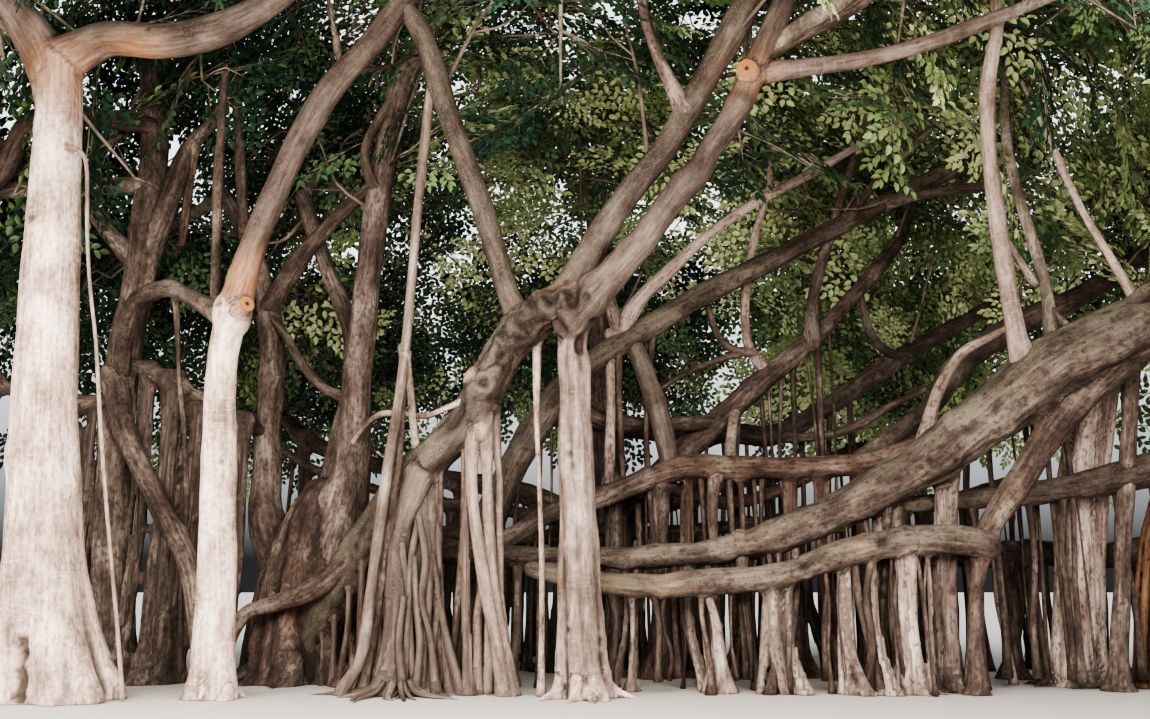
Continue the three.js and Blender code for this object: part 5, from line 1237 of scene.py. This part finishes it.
LONG_ROOTS = [
    ("pale", [(5.15, 0.45, 5.99, 0.091), (5.13, 0.45, 4.62, 0.089), (5.1, 0.45, 3.33, 0.092)]),
    ("red", [(5.29, 0.4, 5.98, 0.054), (5.3, 0.4, 4.61, 0.057), (5.35, 0.4, 3.33, 0.06)]),
    ("dark", [(5.18, 0.6, 3.31, 0.142), (5.19, 0.6, 2.33, 0.167), (5.18, 0.6, 1.29, 0.157),
        (5.14, 0.6, -0.25, 0.189)]),
    ("dark", [(6.01, 0.35, 3.36, 0.141), (5.97, 0.35, 1.97, 0.139), (5.99, 0.35, 0.96, 0.154),
        (5.92, 0.35, -0.23, 0.203)]),
    ("red", [(6.45, 0.5, 3.48, 0.089), (6.43, 0.5, 2.24, 0.088), (6.39, 0.5, 1.29, 0.087),
        (6.46, 0.5, -0.24, 0.102)]),
    ("pale", [(7.54, 1.7, 4.84, 0.095), (7.36, 1.1, 4.16, 0.092), (7.25, 0.35, 3.53, 0.106)]),
    ("", [(6.97, 0.25, 3.45, 0.122), (6.83, -0.2, 2.8, 0.102), (6.8, -0.6, 2.02, 0.083),
        (6.78, -0.8, 1.16, 0.081), (6.7, -0.8, 0.5, 0.088), (6.56, -0.8, -0.18, 0.112)]),
    ("", [(7.06, -1.82, 2.24, 0.124), (7.07, -1.82, 1.78, 0.074), (7.11, -1.82, 1.33, 0.064),
        (7.19, -1.82, 0.66, 0.07), (7.33, -1.82, -0.2, 0.098)]),
    ("pale", [(6.39, -2.28, 1.6, 0.075), (6.53, -2.28, 1.28, 0.06), (6.61, -2.28, 0.96, 0.074),
        (6.65, -2.28, 0.54, 0.089), (6.73, -2.28, -0.18, 0.132)]),
    ("pale", [(6.62, -2.2, 0.96, 0.06), (6.53, -2.2, 0.41, 0.059), (6.43, -2.2, -0.19, 0.088)]),
    ("", [(8.63, -2.5, 1.98, 0.059), (8.69, -2.5, 1.34, 0.059), (8.84, -2.5, 0.63, 0.064),
        (9.02, -2.5, -0.16, 0.087)]),
    ("", [(9.54, -2.5, 2.14, 0.045), (9.65, -2.5, 1.2, 0.038), (9.7, -2.5, -0.16, 0.052)]),
    ("dark", [(10.39, -2.2, 2.15, 0.055), (10.46, -2.2, 1.34, 0.06), (10.31, -2.2, -0.19, 0.088)]),
    ("", [(11.94, 0.15, 2.11, 0.137), (11.91, 0.15, 1.3, 0.119), (11.93, 0.15, 0.47, 0.118),
        (12, 0.15, -0.21, 0.151)]),
    ("", [(12.32, 0.2, 2.11, 0.155), (12.29, 0.2, 1.3, 0.12), (12.36, 0.2, 0.47, 0.119),
        (12.52, 0.2, -0.21, 0.151)]),
    ("dark", [(12.16, 0.3, 1.97, 0.086), (12.13, 0.3, 1.13, 0.086), (11.75, 0.3, -0.22, 0.118)]),
    ("pale", [(11.31, -0.9, 2.26, 0.042), (11.31, -0.9, 1.32, 0.045), (11.46, -0.9, 0.38, 0.048),
        (11.49, -0.9, -0.3, 0.057)]),
    ("", [(13.33, -1.95, 5.41, 0.159), (13.22, -1.95, 4.25, 0.126), (13.09, -1.95, 3.31, 0.132),
        (12.88, -1.95, 1.93, 0.123), (12.72, -1.95, 0.59, 0.136), (12.63, -1.95, -0.22, 0.179)]),
    ("pale", [(3.92, -2.75, 5.24, 0.076), (3.93, -2.75, 3.98, 0.042), (3.98, -2.75, 2.79, 0.041),
        (4.02, -2.75, 1.49, 0.044), (4.01, -2.75, -0.14, 0.057)]),
    ("", [(1.91, -2.86, 5.06, 0.06), (1.9, -2.7, 3.99, 0.054), (1.79, -2.55, 2.8, 0.06),
        (1.68, -2.5, 1.92, 0.065), (1.52, -2.45, 0.76, 0.073), (1.35, -2.45, -0.31, 0.087)]),
    ("pale", [(1.96, -2.9, 4.99, 0.06), (2.01, -2.6, 4.31, 0.067), (2.08, -2.35, 3.55, 0.076)]),
    ("pale", [(2.82, -2.75, 4.27, 0.051), (2.5, -2.7, 4.14, 0.042), (2.2, -2.4, 4.09, 0.043),
        (1.74, -1.9, 4.21, 0.044), (1.26, -1.3, 4.25, 0.046), (0.84, -0.6, 4.01, 0.051),
        (0.64, -0.3, 3.78, 0.051)]),
    ("dark", [(-1.82, -2.2, 6.07, 0.05), (-1.75, -1.9, 4.65, 0.042), (-1.74, -1.5, 3.72, 0.042),
        (-1.72, -1.3, 2.6, 0.046)]),
    ("red", [(-2.53, 0.1, 9.43, 0.11), (-2.56, 0.1, 8.62, 0.091), (-2.62, 0.1, 7.61, 0.065)])]
ROOT_GIRTHS = (0.018, 0.07)
ROOT_SWAY = 0.07
hanging = []
for number, (carrier, count, start, end) in enumerate(HANGING_ROOTS):
    draw = np.random.default_rng(300 + number)
    for n in range(count):
        place = start + (end - start) * (n + draw.uniform(0, 1)) / count
        x, y, z = line_through(carrier, np.array([place]))[0][0]
        radius = draw.uniform(*ROOT_GIRTHS)
        sway = draw.normal(0, ROOT_SWAY, (3, 2)).cumsum(axis=0)
        route = [(x, y, z, radius), (x + sway[0, 0], y + sway[0, 1], z * 0.66, radius * 0.8),
                 (x + sway[1, 0], y + sway[1, 1], z * 0.33, radius * 0.85),
                 (x + sway[2, 0], y + sway[2, 1], -BELOW_GROUND, radius * 1.1)]
        hanging.append(dict(
            route=route, ribs=2, collar=0.7, flare=1.1, flare_height=0.12, seed=number * 50 + n,
            ring_step=0.22, side_step=0.075, dark=draw.uniform(0, 1), red=draw.uniform(0, 0.2)))
hanging_roots = grow_bark("hanging_roots", grey_bark, [], 0.04, seed=20, loose=[
    *hanging,
    *traced_limbs(LONG_ROOTS, 600, ring_step=0.12, collar=0.5, flare=0.7, flare_height=0.14, gnarl=1.4)])
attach(hanging_roots, TREE)


# The foliage: each mass grows from one stem by the rule of the solids, carried on to finer boughs,
# twigs and sprays. Leaves are stiff, oval and glossy, and every leaf of a spray has that spray's green.
CROWN_MIDDLE = np.array([4.5, 2.0])
CROWN_REACH = np.array([15.5, 11.5])
CROWN_SHOULDER_HEIGHT = 5.0
CROWN_TOP = 15.5
CROWN_BLUNTNESS = 2.6
ARCH_HEIGHT = 8.6
RIM_DROP = 5.2
FRONT_LIFT = 3.6
FRONT_LIFT_STARTS = 1.5
FRONT_LIFT_ENDS = -5.5
CROWN_HEART = np.array([4.5, 2.0, 3.0])
GOLDEN_ANGLE = 2.39996
TWIG_RISE = 0.8

MASSES = {
    "foliage_front_left": ("dark_leaf", [(-4.85, -4, 11.2, 0.12), (-6.3, -4.7, 11.3, 0.09)]),
    "foliage_front_second": ("dark_leaf", [(0.65, -4.08, 10.9, 0.12), (-0.7, -5.6, 12.3, 0.09)]),
    "foliage_front_middle": ("dark_leaf", [(2.56, -3.7, 11.4, 0.115), (4.3, -5.2, 12.9, 0.09)]),
    "foliage_front_right": ("mid_leaf", [
        (7.33, -3.6, 9.45, 0.165), (8, -3.65, 9.95, 0.14), (8.85, -3.8, 10.6, 0.13),
        (9.7, -5.3, 12.3, 0.09)]),
    "foliage_front_far_right": ("mid_leaf", [(10.95, -3.94, 9.93, 0.1), (14.3, -4.9, 11, 0.08)]),
    "foliage_left": ("dark_leaf", [
        (-3.3, 0.1, 8.7, 0.19), (-5.4, -0.3, 8.5, 0.165), (-8.1, 0.7, 8.4, 0.09)]),
    "foliage_left_top": ("dark_leaf", [(-3.54, 0.4, 11.3, 0.14), (-3.3, 1.6, 13, 0.09)]),
    "foliage_middle_top": ("mid_leaf", [(1.68, -0.2, 11.35, 0.13), (2.4, 0.9, 13.5, 0.09)]),
    "foliage_right_top": ("mid_leaf", [(7.45, -3.29, 11.1, 0.14), (8, -0.2, 13.6, 0.09)]),
    "foliage_far_right_top": ("bright_leaf", [
        (11.85, -2.35, 4.9, 0.14), (12, -2.1, 6.2, 0.104), (11.75, -1.6, 8.9, 0.095),
        (12.9, 0.5, 12.3, 0.08)]),
    "foliage_right": ("bright_leaf", [(16.05, -1.65, 8.3, 0.19), (17.3, 1.4, 9.2, 0.1)]),
    "foliage_back_left": ("dark_leaf", [
        (-2.58, 2.18, 9.25, 0.13), (-4.7, 4, 8.9, 0.11), (-6.6, 5.4, 8.6, 0.09)]),
    "foliage_back_second": ("mid_leaf", [
        (-0.76, 1.29, 8.85, 0.115), (-1, 4, 10.6, 0.105), (-1.3, 6.3, 11.8, 0.09)]),
    "foliage_back_middle": ("bright_leaf", [(5, 6.88, 9.5, 0.15), (4.6, 7, 12.6, 0.09)]),
    "foliage_back_right": ("bright_leaf", [(11.88, 4.17, 9.65, 0.115), (11, 6.6, 11.6, 0.09)]),
    "foliage_rear_left": ("mid_leaf", [(-3.28, 9.18, 5.98, 0.13), (-2.6, 10.3, 7.3, 0.09)]),
    "foliage_rear_middle": ("mid_leaf", [
        (5.15, 6.74, 6.3, 0.16), (4.8, 9, 7.2, 0.12), (4.6, 11.3, 7.9, 0.09)]),
    "foliage_rear_right": ("bright_leaf", [(13.58, 8.57, 5.98, 0.13), (12.6, 10, 7.4, 0.09)]),
}
hubs = np.array([stem[-1][:3] for _, stem in MASSES.values()])
PAST_SOLIDS = 0.15


def in_crown(points):
    """Whether points lie under the dome of the crown, over its arch and hardly past the solids' box."""
    low, high = np.array(solid_box)
    boxed = ((points > low - PAST_SOLIDS) & (points < high + PAST_SOLIDS)).all(axis=1)
    along, across = ((points[:, :2] - CROWN_MIDDLE) / CROWN_REACH).T
    up = np.maximum(points[:, 2] - CROWN_SHOULDER_HEIGHT, 0) / (CROWN_TOP - CROWN_SHOULDER_HEIGHT)
    out = np.abs(along) ** CROWN_BLUNTNESS + np.abs(across) ** CROWN_BLUNTNESS + up ** CROWN_BLUNTNESS
    flat = np.minimum(along ** 2 + across ** 2, 1)
    forward = np.clip((FRONT_LIFT_STARTS - points[:, 1]) / (FRONT_LIFT_STARTS - FRONT_LIFT_ENDS), 0, 1)
    arch = ARCH_HEIGHT - RIM_DROP * flat + FRONT_LIFT * forward * flat
    return boxed & (out <= 1) & (points[:, 2] >= arch)


OPENING_RISE = 0.545
OPENING_HALF_WIDTH = 0.53
OPENING_FROM = -3.2


def in_front_opening(points):
    """Whether points hang in front of the front trunks, in the way of a look at them from the open side."""
    far = points[:, 1] - EYE[1]
    low = points[:, 2] < EYE[2] + OPENING_RISE * far
    return low & (points[:, 1] < OPENING_FROM) & (np.abs(points[:, 0] - EYE[0]) < OPENING_HALF_WIDTH * far)


OVERLAP = 0.35


def in_own_space(points, own):
    """Whether points lie in the crown and nearer to a mass's own hub than to any other."""
    apart = np.linalg.norm(points[:, None] - hubs[None], axis=2)
    nearest = apart[:, own] <= apart.min(axis=1) + OVERLAP
    return in_crown(points) & nearest & ~in_front_opening(points)


LEAF_LENGTH = 0.112
LEAF_WIDTH = 0.062
LEAF_SHAPE = ((0, 0, 0), (0.32, 0.5, 0.1), (0.72, 0.4, 0.06), (1, 0, -0.05), (0.72, -0.4, 0.06),
              (0.32, -0.5, 0.1))
LEAF_FACES = np.array([(0, 2, 1), (0, 3, 2), (0, 4, 3), (0, 5, 4)])


def leaf_corners(root, ahead, up):
    """One leaf: a base, a tip and four corners between, folded a little along its midrib."""
    side = unit(np.cross(ahead, up))
    level = np.cross(side, ahead)
    return [root + LEAF_LENGTH * a * ahead + LEAF_WIDTH * s * side + LEAF_LENGTH * u * level
            for a, s, u in LEAF_SHAPE]


SHOOT_SECTION = ((0.0, 1.0), (0.87, -0.5), (-0.87, -0.5))
SHOOT_FACES = np.array([(0, 2, 1), (0, 1, 3), (1, 2, 3), (2, 0, 3)])


def tapered_shoot(root, tip, girth):
    """A side shoot of three faces that run to its tip."""
    side = unit(np.cross(tip - root, (0, 0, 1.0)))
    up = unit(np.cross(side, tip - root))
    foot = [root + girth * (across * side + rise * up) for across, rise in SHOOT_SECTION]
    return np.array([*foot, tip]), SHOOT_FACES


SIDE_SHOOTS = 9
LEAVES_ON_STEM, LEAVES_ON_SHOOT = 9, 6
STEM_GIRTHS = (0.011, 0.008, 0.004)
SHOOT_GIRTH = 0.007
LEAF_ANGLE = 0.8
PATTERNS = 7


def spray_pattern(draw):
    """A spray one metre long along +X: a stem with side shoots, and leaves along all of them."""
    leaves, shoots = [], [np.array([(0, 0, 0), (0.5, 0.01, -0.02), (1, 0, -0.08)])]
    for n in range(SIDE_SHOOTS):
        share = 0.1 + 0.094 * n
        root = np.array([share, 0, -0.08 * share ** 2])
        angle = (1 if n % 2 else -1) * (0.95 - 0.35 * share + 0.3 * (next(draw) - 0.5))
        length = 0.52 * (1 - 0.55 * share) * (0.8 + 0.4 * next(draw))
        way = np.array([math.cos(angle), math.sin(angle), 0.35 * (next(draw) - 0.6)])
        shoots.append(np.array([root, root + way * length * 0.5, root + way * length - (0, 0, 0.03)]))
    for number, shoot in enumerate(shoots):
        count, bare, leafy = (LEAVES_ON_SHOOT, 0.2, 0.8) if number else (LEAVES_ON_STEM, 0.35, 0.65)
        forward = unit(shoot[2] - shoot[0])
        for k in range(count):
            place = shoot[0] + (shoot[2] - shoot[0]) * (bare + leafy * (k + 1) / count)
            swing = 0.2 if k == count - 1 else 1
            turn = (1 if k % 2 else -1) * (LEAF_ANGLE + 0.4 * (next(draw) - 0.5)) * swing
            flat = np.array([forward[0] * math.cos(turn) - forward[1] * math.sin(turn),
                             forward[0] * math.sin(turn) + forward[1] * math.cos(turn),
                             forward[2] + 0.5 * (next(draw) - 0.65)])
            tilt = np.array([1.0 * (next(draw) - 0.5), 1.0 * (next(draw) - 0.5), 1])
            leaves.append(leaf_corners(place, unit(flat), unit(tilt)))
    leaf_shape = np.array(leaves).reshape(-1, 3)
    starts = len(LEAF_SHAPE) * np.arange(len(leaves))
    leaf_faces = (LEAF_FACES[None] + starts[:, None, None]).reshape(-1, 3)
    skins = [tube_skin(shoots[0], np.repeat(np.array(STEM_GIRTHS)[:, None], 3, axis=1))]
    skins += [tapered_shoot(shoot[0], shoot[-1], SHOOT_GIRTH) for shoot in shoots[1:]]
    return leaf_shape, leaf_faces, *joined(skins)


patterns = [spray_pattern(random_row(900 + n)) for n in range(PATTERNS)]
LOWEST_LEAF = 2.8
limb_beads = np.vstack(limb_lines)
limb_beads = limb_beads[limb_beads[:, 2] > LOWEST_LEAF]

BOUGHS_PER_MASS = 20
FULLER_MASSES = {
    "foliage_front_left": 28, "foliage_front_second": 28, "foliage_front_middle": 30,
    "foliage_front_right": 32, "foliage_front_far_right": 34, "foliage_right": 30,
    "foliage_rear_right": 32, "foliage_back_right": 28, "foliage_rear_left": 28, "foliage_left": 24,
    "foliage_rear_middle": 26}
SIDE_TWIG_STEP = 0.85
SPRAY_LENGTH = 1.65
SPRAY_HALF_WIDTH = 0.42
FRONT_SHARE = 0.64
FRONT_FROM = -3.6
TURNS_TRIED = 7
SIDE_TWIG_GIRTH = 0.03
LIMB_CLEARANCE = 0.08
INSIDE_SOLIDS = 0.05


def spray_fits(root, ahead, side, length, own):
    """Whether a spray's tip and sides lie in the mass's own space and its middle is clear of the limbs."""
    wide = root + ahead * length * 0.5
    out = side * SPRAY_HALF_WIDTH * length
    edges = np.array([root + ahead * length, wide + out, wide - out])
    if not in_own_space(edges, own).all():
        return False
    low, high = np.array(solid_box)
    if (edges < low + INSIDE_SOLIDS).any() or (edges > high - INSIDE_SOLIDS).any():
        return False
    line = np.array([root + ahead * length * share for share in (0.3, 0.6, 0.9)])
    gaps = np.linalg.norm(line[:, None] - limb_beads[None, :, :3], axis=2) - limb_beads[None, :, 3]
    return bool((gaps > LIMB_CLEARANCE).all())


def spray_ways(root, twig_ahead, turn, draw):
    """Ahead, side and up of a spray that lies along the dome of the crown."""
    outward = unit(root - CROWN_HEART)
    level = unit(np.array([-outward[1], outward[0], 0]))
    downhill = np.cross(outward, level)
    ahead = unit(level * math.cos(turn) + downhill * math.sin(turn) + 0.6 * twig_ahead)
    up = outward + np.array([next(draw) - 0.5, next(draw) - 0.5, next(draw) - 0.5])
    side = unit(np.cross(ahead, up))
    return ahead, side, np.cross(side, ahead)


BOUGH_STEPS = np.arange(0.25, 9.25, 0.25)
SPRAY_ROOM = 0.7
SHORTEST_BOUGH = 0.6


def grow_mass(own, stem, bough_count):
    """Boughs leave the hub evenly all round, with side twigs along them, and all end in sprays."""
    draw = random_row(101 + own * 37)
    hub = hubs[own]
    start = next(draw) * 2 * math.pi
    wood = [np.array(stem, float)]
    sprays = []

    def add_spray(root, twig_ahead, turn):
        length = SPRAY_LENGTH * (0.8 + 0.4 * next(draw)) * (FRONT_SHARE if root[1] < FRONT_FROM else 1)
        for k in range(TURNS_TRIED):
            ahead, side, up = spray_ways(root, twig_ahead, turn + k * 2 * math.pi / TURNS_TRIED, draw)
            if spray_fits(root, ahead, side, length, own):
                sprays.append((root, ahead, side, up, length, int(next(draw) * len(patterns)), next(draw)))
                return

    for n in range(bough_count):
        height = 1 - 2 * (n + 0.5) / bough_count
        angle = start + n * GOLDEN_ANGLE + (next(draw) - 0.5) * 0.5
        flat = math.sqrt(1 - height * height)
        ahead = unit(np.array([flat * math.cos(angle), flat * math.sin(angle), height * TWIG_RISE]))
        inside = in_own_space(hub + ahead * BOUGH_STEPS[:, None], own)
        reach = BOUGH_STEPS[-1] if inside.all() else BOUGH_STEPS[inside.argmin()] - BOUGH_STEPS[0]
        length = reach - SPRAY_ROOM
        if length < SHORTEST_BOUGH:
            continue
        arch = np.array([0, 0, 0.09 * length])
        girth = 0.03 + 0.011 * length
        route = np.array([(*hub, girth), (*(hub + ahead * length * 0.5 + arch), girth * 0.62),
                          (*(hub + ahead * length), 0.02)])
        wood.append(route)
        stations = max(int(length / SIDE_TWIG_STEP), 1)
        for k in range(stations):
            share = (k + 1) / stations
            root, _ = line_through(route, np.array([share]))
            turn = angle + k * GOLDEN_ANGLE
            out = unit(root[0] - CROWN_HEART)
            level = unit(np.cross(ahead, out))
            sideways = unit(ahead * 0.5 + (level if k % 2 else -level) + out * 0.5 * (next(draw) - 0.4))
            twig = root[0] + sideways * (0.5 + 0.9 * next(draw))
            if in_own_space(twig[None], own)[0]:
                middle = (root[0] + twig) / 2 + (0, 0, 0.05)
                wood.append(np.array([(*root[0], SIDE_TWIG_GIRTH), (*middle, 0.024), (*twig, 0.016)]))
                add_spray(twig, sideways, turn)
                add_spray((root[0] + twig) / 2, sideways, turn + 2.1)
            add_spray(root[0], ahead, turn + 4)
    return wood, sprays


def leaf_finish(name, tone, second_tone):
    """A leaf: one green, a little mottled, with a soft waxy shine."""
    finish, nodes, links, shader = new_finish(name)
    place = nodes.new("ShaderNodeTexCoord")
    mottle = nodes.new("ShaderNodeTexNoise")
    mottle.inputs["Scale"].default_value = 7
    mottle.inputs["Detail"].default_value = 3
    links.new(place.outputs["Object"], mottle.inputs["Vector"])
    green = tone_ramp(nodes, links, mottle.outputs["Fac"], ((0.35, tone), (0.65, second_tone)))
    links.new(green, shader.inputs["Base Color"])
    shader.inputs["Roughness"].default_value = 0.42
    shader.inputs["Specular IOR Level"].default_value = 0.4
    return finish


# Five greens, deep to sunlit: besides the leaves' own range, the light and sunlit greens paint sunlight and
# the deep and dark greens paint shade.
leaf_greens = [
    leaf_finish("deep_leaf", (0.012, 0.033, 0.02), (0.023, 0.053, 0.032)),
    leaf_finish("dark_leaf", (0.023, 0.057, 0.032), (0.04, 0.085, 0.044)),
    leaf_finish("mid_leaf", (0.068, 0.12, 0.058), (0.105, 0.165, 0.078)),
    leaf_finish("light_leaf", (0.18, 0.255, 0.11), (0.27, 0.35, 0.155)),
    leaf_finish("sunlit_leaf", (0.40, 0.48, 0.23), (0.60, 0.66, 0.36))]
# The bright_leaf masses at the right and back take mostly light and sunlit greens, painted sunlight; the
# dark_leaf masses at the front and left take mostly deep and dark greens, painted shade.
GREENS_OF = {"dark_leaf": (0.30, 0.70, 0.94, 0.99), "mid_leaf": (0.12, 0.40, 0.74, 0.91),
             "bright_leaf": (0.02, 0.07, 0.24, 0.54)}
twig_bark = bark_finish(
    "twig_bark", ((0.09, 0.07, 0.052), (0.16, 0.13, 0.10), (0.26, 0.22, 0.175), (0.38, 0.33, 0.28)),
    RUFOUS, MOSS, (0.05, 0.04, 0.03), 0.82)


# Thin branches fill the crown between the limbs and the leaves: each leaves a limb in its upper part,
# bends a little, and forks.
BRANCHED_LIMBS = [
    LEFT_SWEEPING_BOUGH, SECOND_BOUGH, OLD_LEFT_LIMB, OLD_UPRIGHT_LIMB, BENDING_LIMB, LEFT_BACK_TRUNK,
    CENTRE_LEFT_LIMB, CENTRE_RIGHT_LIMB, CROSSING_LIMB, RIGHT_UPRIGHT, FAR_RIGHT_UPRIGHT, LONG_BACK_BOUGH,
    RISING_BACK_BOUGH, REAR_TRUNK, REAR_LEFT_BOUGH, REAR_RIGHT_BOUGH, RIGHT_TRUNK, GREAT_LOW_BOUGH[:4],
    *LESSER_BOUGHS[:4]]
BRANCHES_PER_LIMB = 3
BRANCH_LENGTHS = (1.6, 3.4)
MOST_BRANCH_GIRTH = 0.042
FORK_PLACES = (0.4, 0.65, 0.85)


def crown_branch(root, ahead, length, girth, draw):
    """One thin branch with a bend in it, where it stays in the crown."""
    bend = draw.normal(0, 0.12 * length, (2, 3))
    middle, tip = root + ahead * length * 0.5 + bend[0], root + ahead * length + bend[1]
    inside = in_crown(np.array([middle, tip])) & ~in_front_opening(np.array([middle, tip]))
    return [(*root, girth), (*middle, girth * 0.7), (*tip, girth * 0.35)] if inside.all() else None


draw = np.random.default_rng(77)
branches = []
for carrier in BRANCHED_LIMBS:
    for _ in range(BRANCHES_PER_LIMB):
        root, girth = line_through(carrier, np.array([draw.uniform(0.4, 1)]))
        ahead = unit(draw.normal(0, 1, 3) + (0, 0, 0.7))
        length = draw.uniform(*BRANCH_LENGTHS)
        branch = crown_branch(root[0], ahead, length, min(0.35 * girth[0], MOST_BRANCH_GIRTH), draw)
        if branch is None:
            continue
        branches.append(branch)
        for share in FORK_PLACES:
            root, girth = line_through(branch, np.array([share]))
            way = unit(ahead + 0.9 * unit(draw.normal(0, 1, 3)))
            fork = crown_branch(root[0], way, length * draw.uniform(0.35, 0.6), girth[0] * 0.7, draw)
            if fork is not None:
                branches.append(fork)
# The branches' dark share partly paints the shade of the crown on them.
crown_branches = grow_bark("crown_branches", pale_bark, [], 0.04, seed=21, loose=[
    dict(route=branch, ribs=2, ring_step=0.3, side_step=0.07, seed=400 + n, dark=draw.uniform(0.7, 1))
    for n, branch in enumerate(branches)])
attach(crown_branches, TREE)

for own, (name, (tint, stem)) in enumerate(MASSES.items()):
    wood, sprays = grow_mass(own, stem, FULLER_MASSES.get(name, BOUGHS_PER_MASS))
    leaf_sets, twig_sets, greens = [], [], []
    for root, ahead, side, up, length, pattern, shade in sprays:
        leaf_shape, leaf_faces, twig_shape, twig_faces = patterns[pattern]
        turned = length * np.array([ahead, side, up])
        leaf_sets.append((root + leaf_shape @ turned, leaf_faces))
        twig_sets.append((root + twig_shape @ turned, twig_faces))
        greens.append(np.full(len(leaf_faces), np.searchsorted(GREENS_OF[tint], shade)))
    for route in wood:
        thick = route[0, 3] > SIDE_TWIG_GIRTH
        middles, girths = line_through(route, np.linspace(0, 1, 3 * len(route) if thick else 3))
        twig_sets.append(tube_skin(middles, np.repeat(girths[:, None], 6 if thick else 3, axis=1)))
    leaves = bpy.data.objects.new(name + "_leaves", mesh_from(name + "_leaves", *joined(leaf_sets)))
    for green in leaf_greens:
        leaves.data.materials.append(green)
    leaves.data.polygons.foreach_set("material_index", np.concatenate(greens).astype(np.int32))
    bpy.context.scene.collection.objects.link(leaves)
    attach(leaves, TREE)
    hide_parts(name)

    twigs = bpy.data.objects.new(name + "_twigs", mesh_from(name + "_twigs", *joined(twig_sets)))
    twig_corners = corners_of(twigs.data)
    add_marks(twigs.data, "grain", twig_corners)
    for layer in ("marks", "shades"):
        add_marks(twigs.data, layer, np.zeros((len(twig_corners), 3)))
    twigs.data.materials.append(twig_bark)
    bpy.context.scene.collection.objects.link(twigs)
    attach(twigs, TREE)
    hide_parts(name)
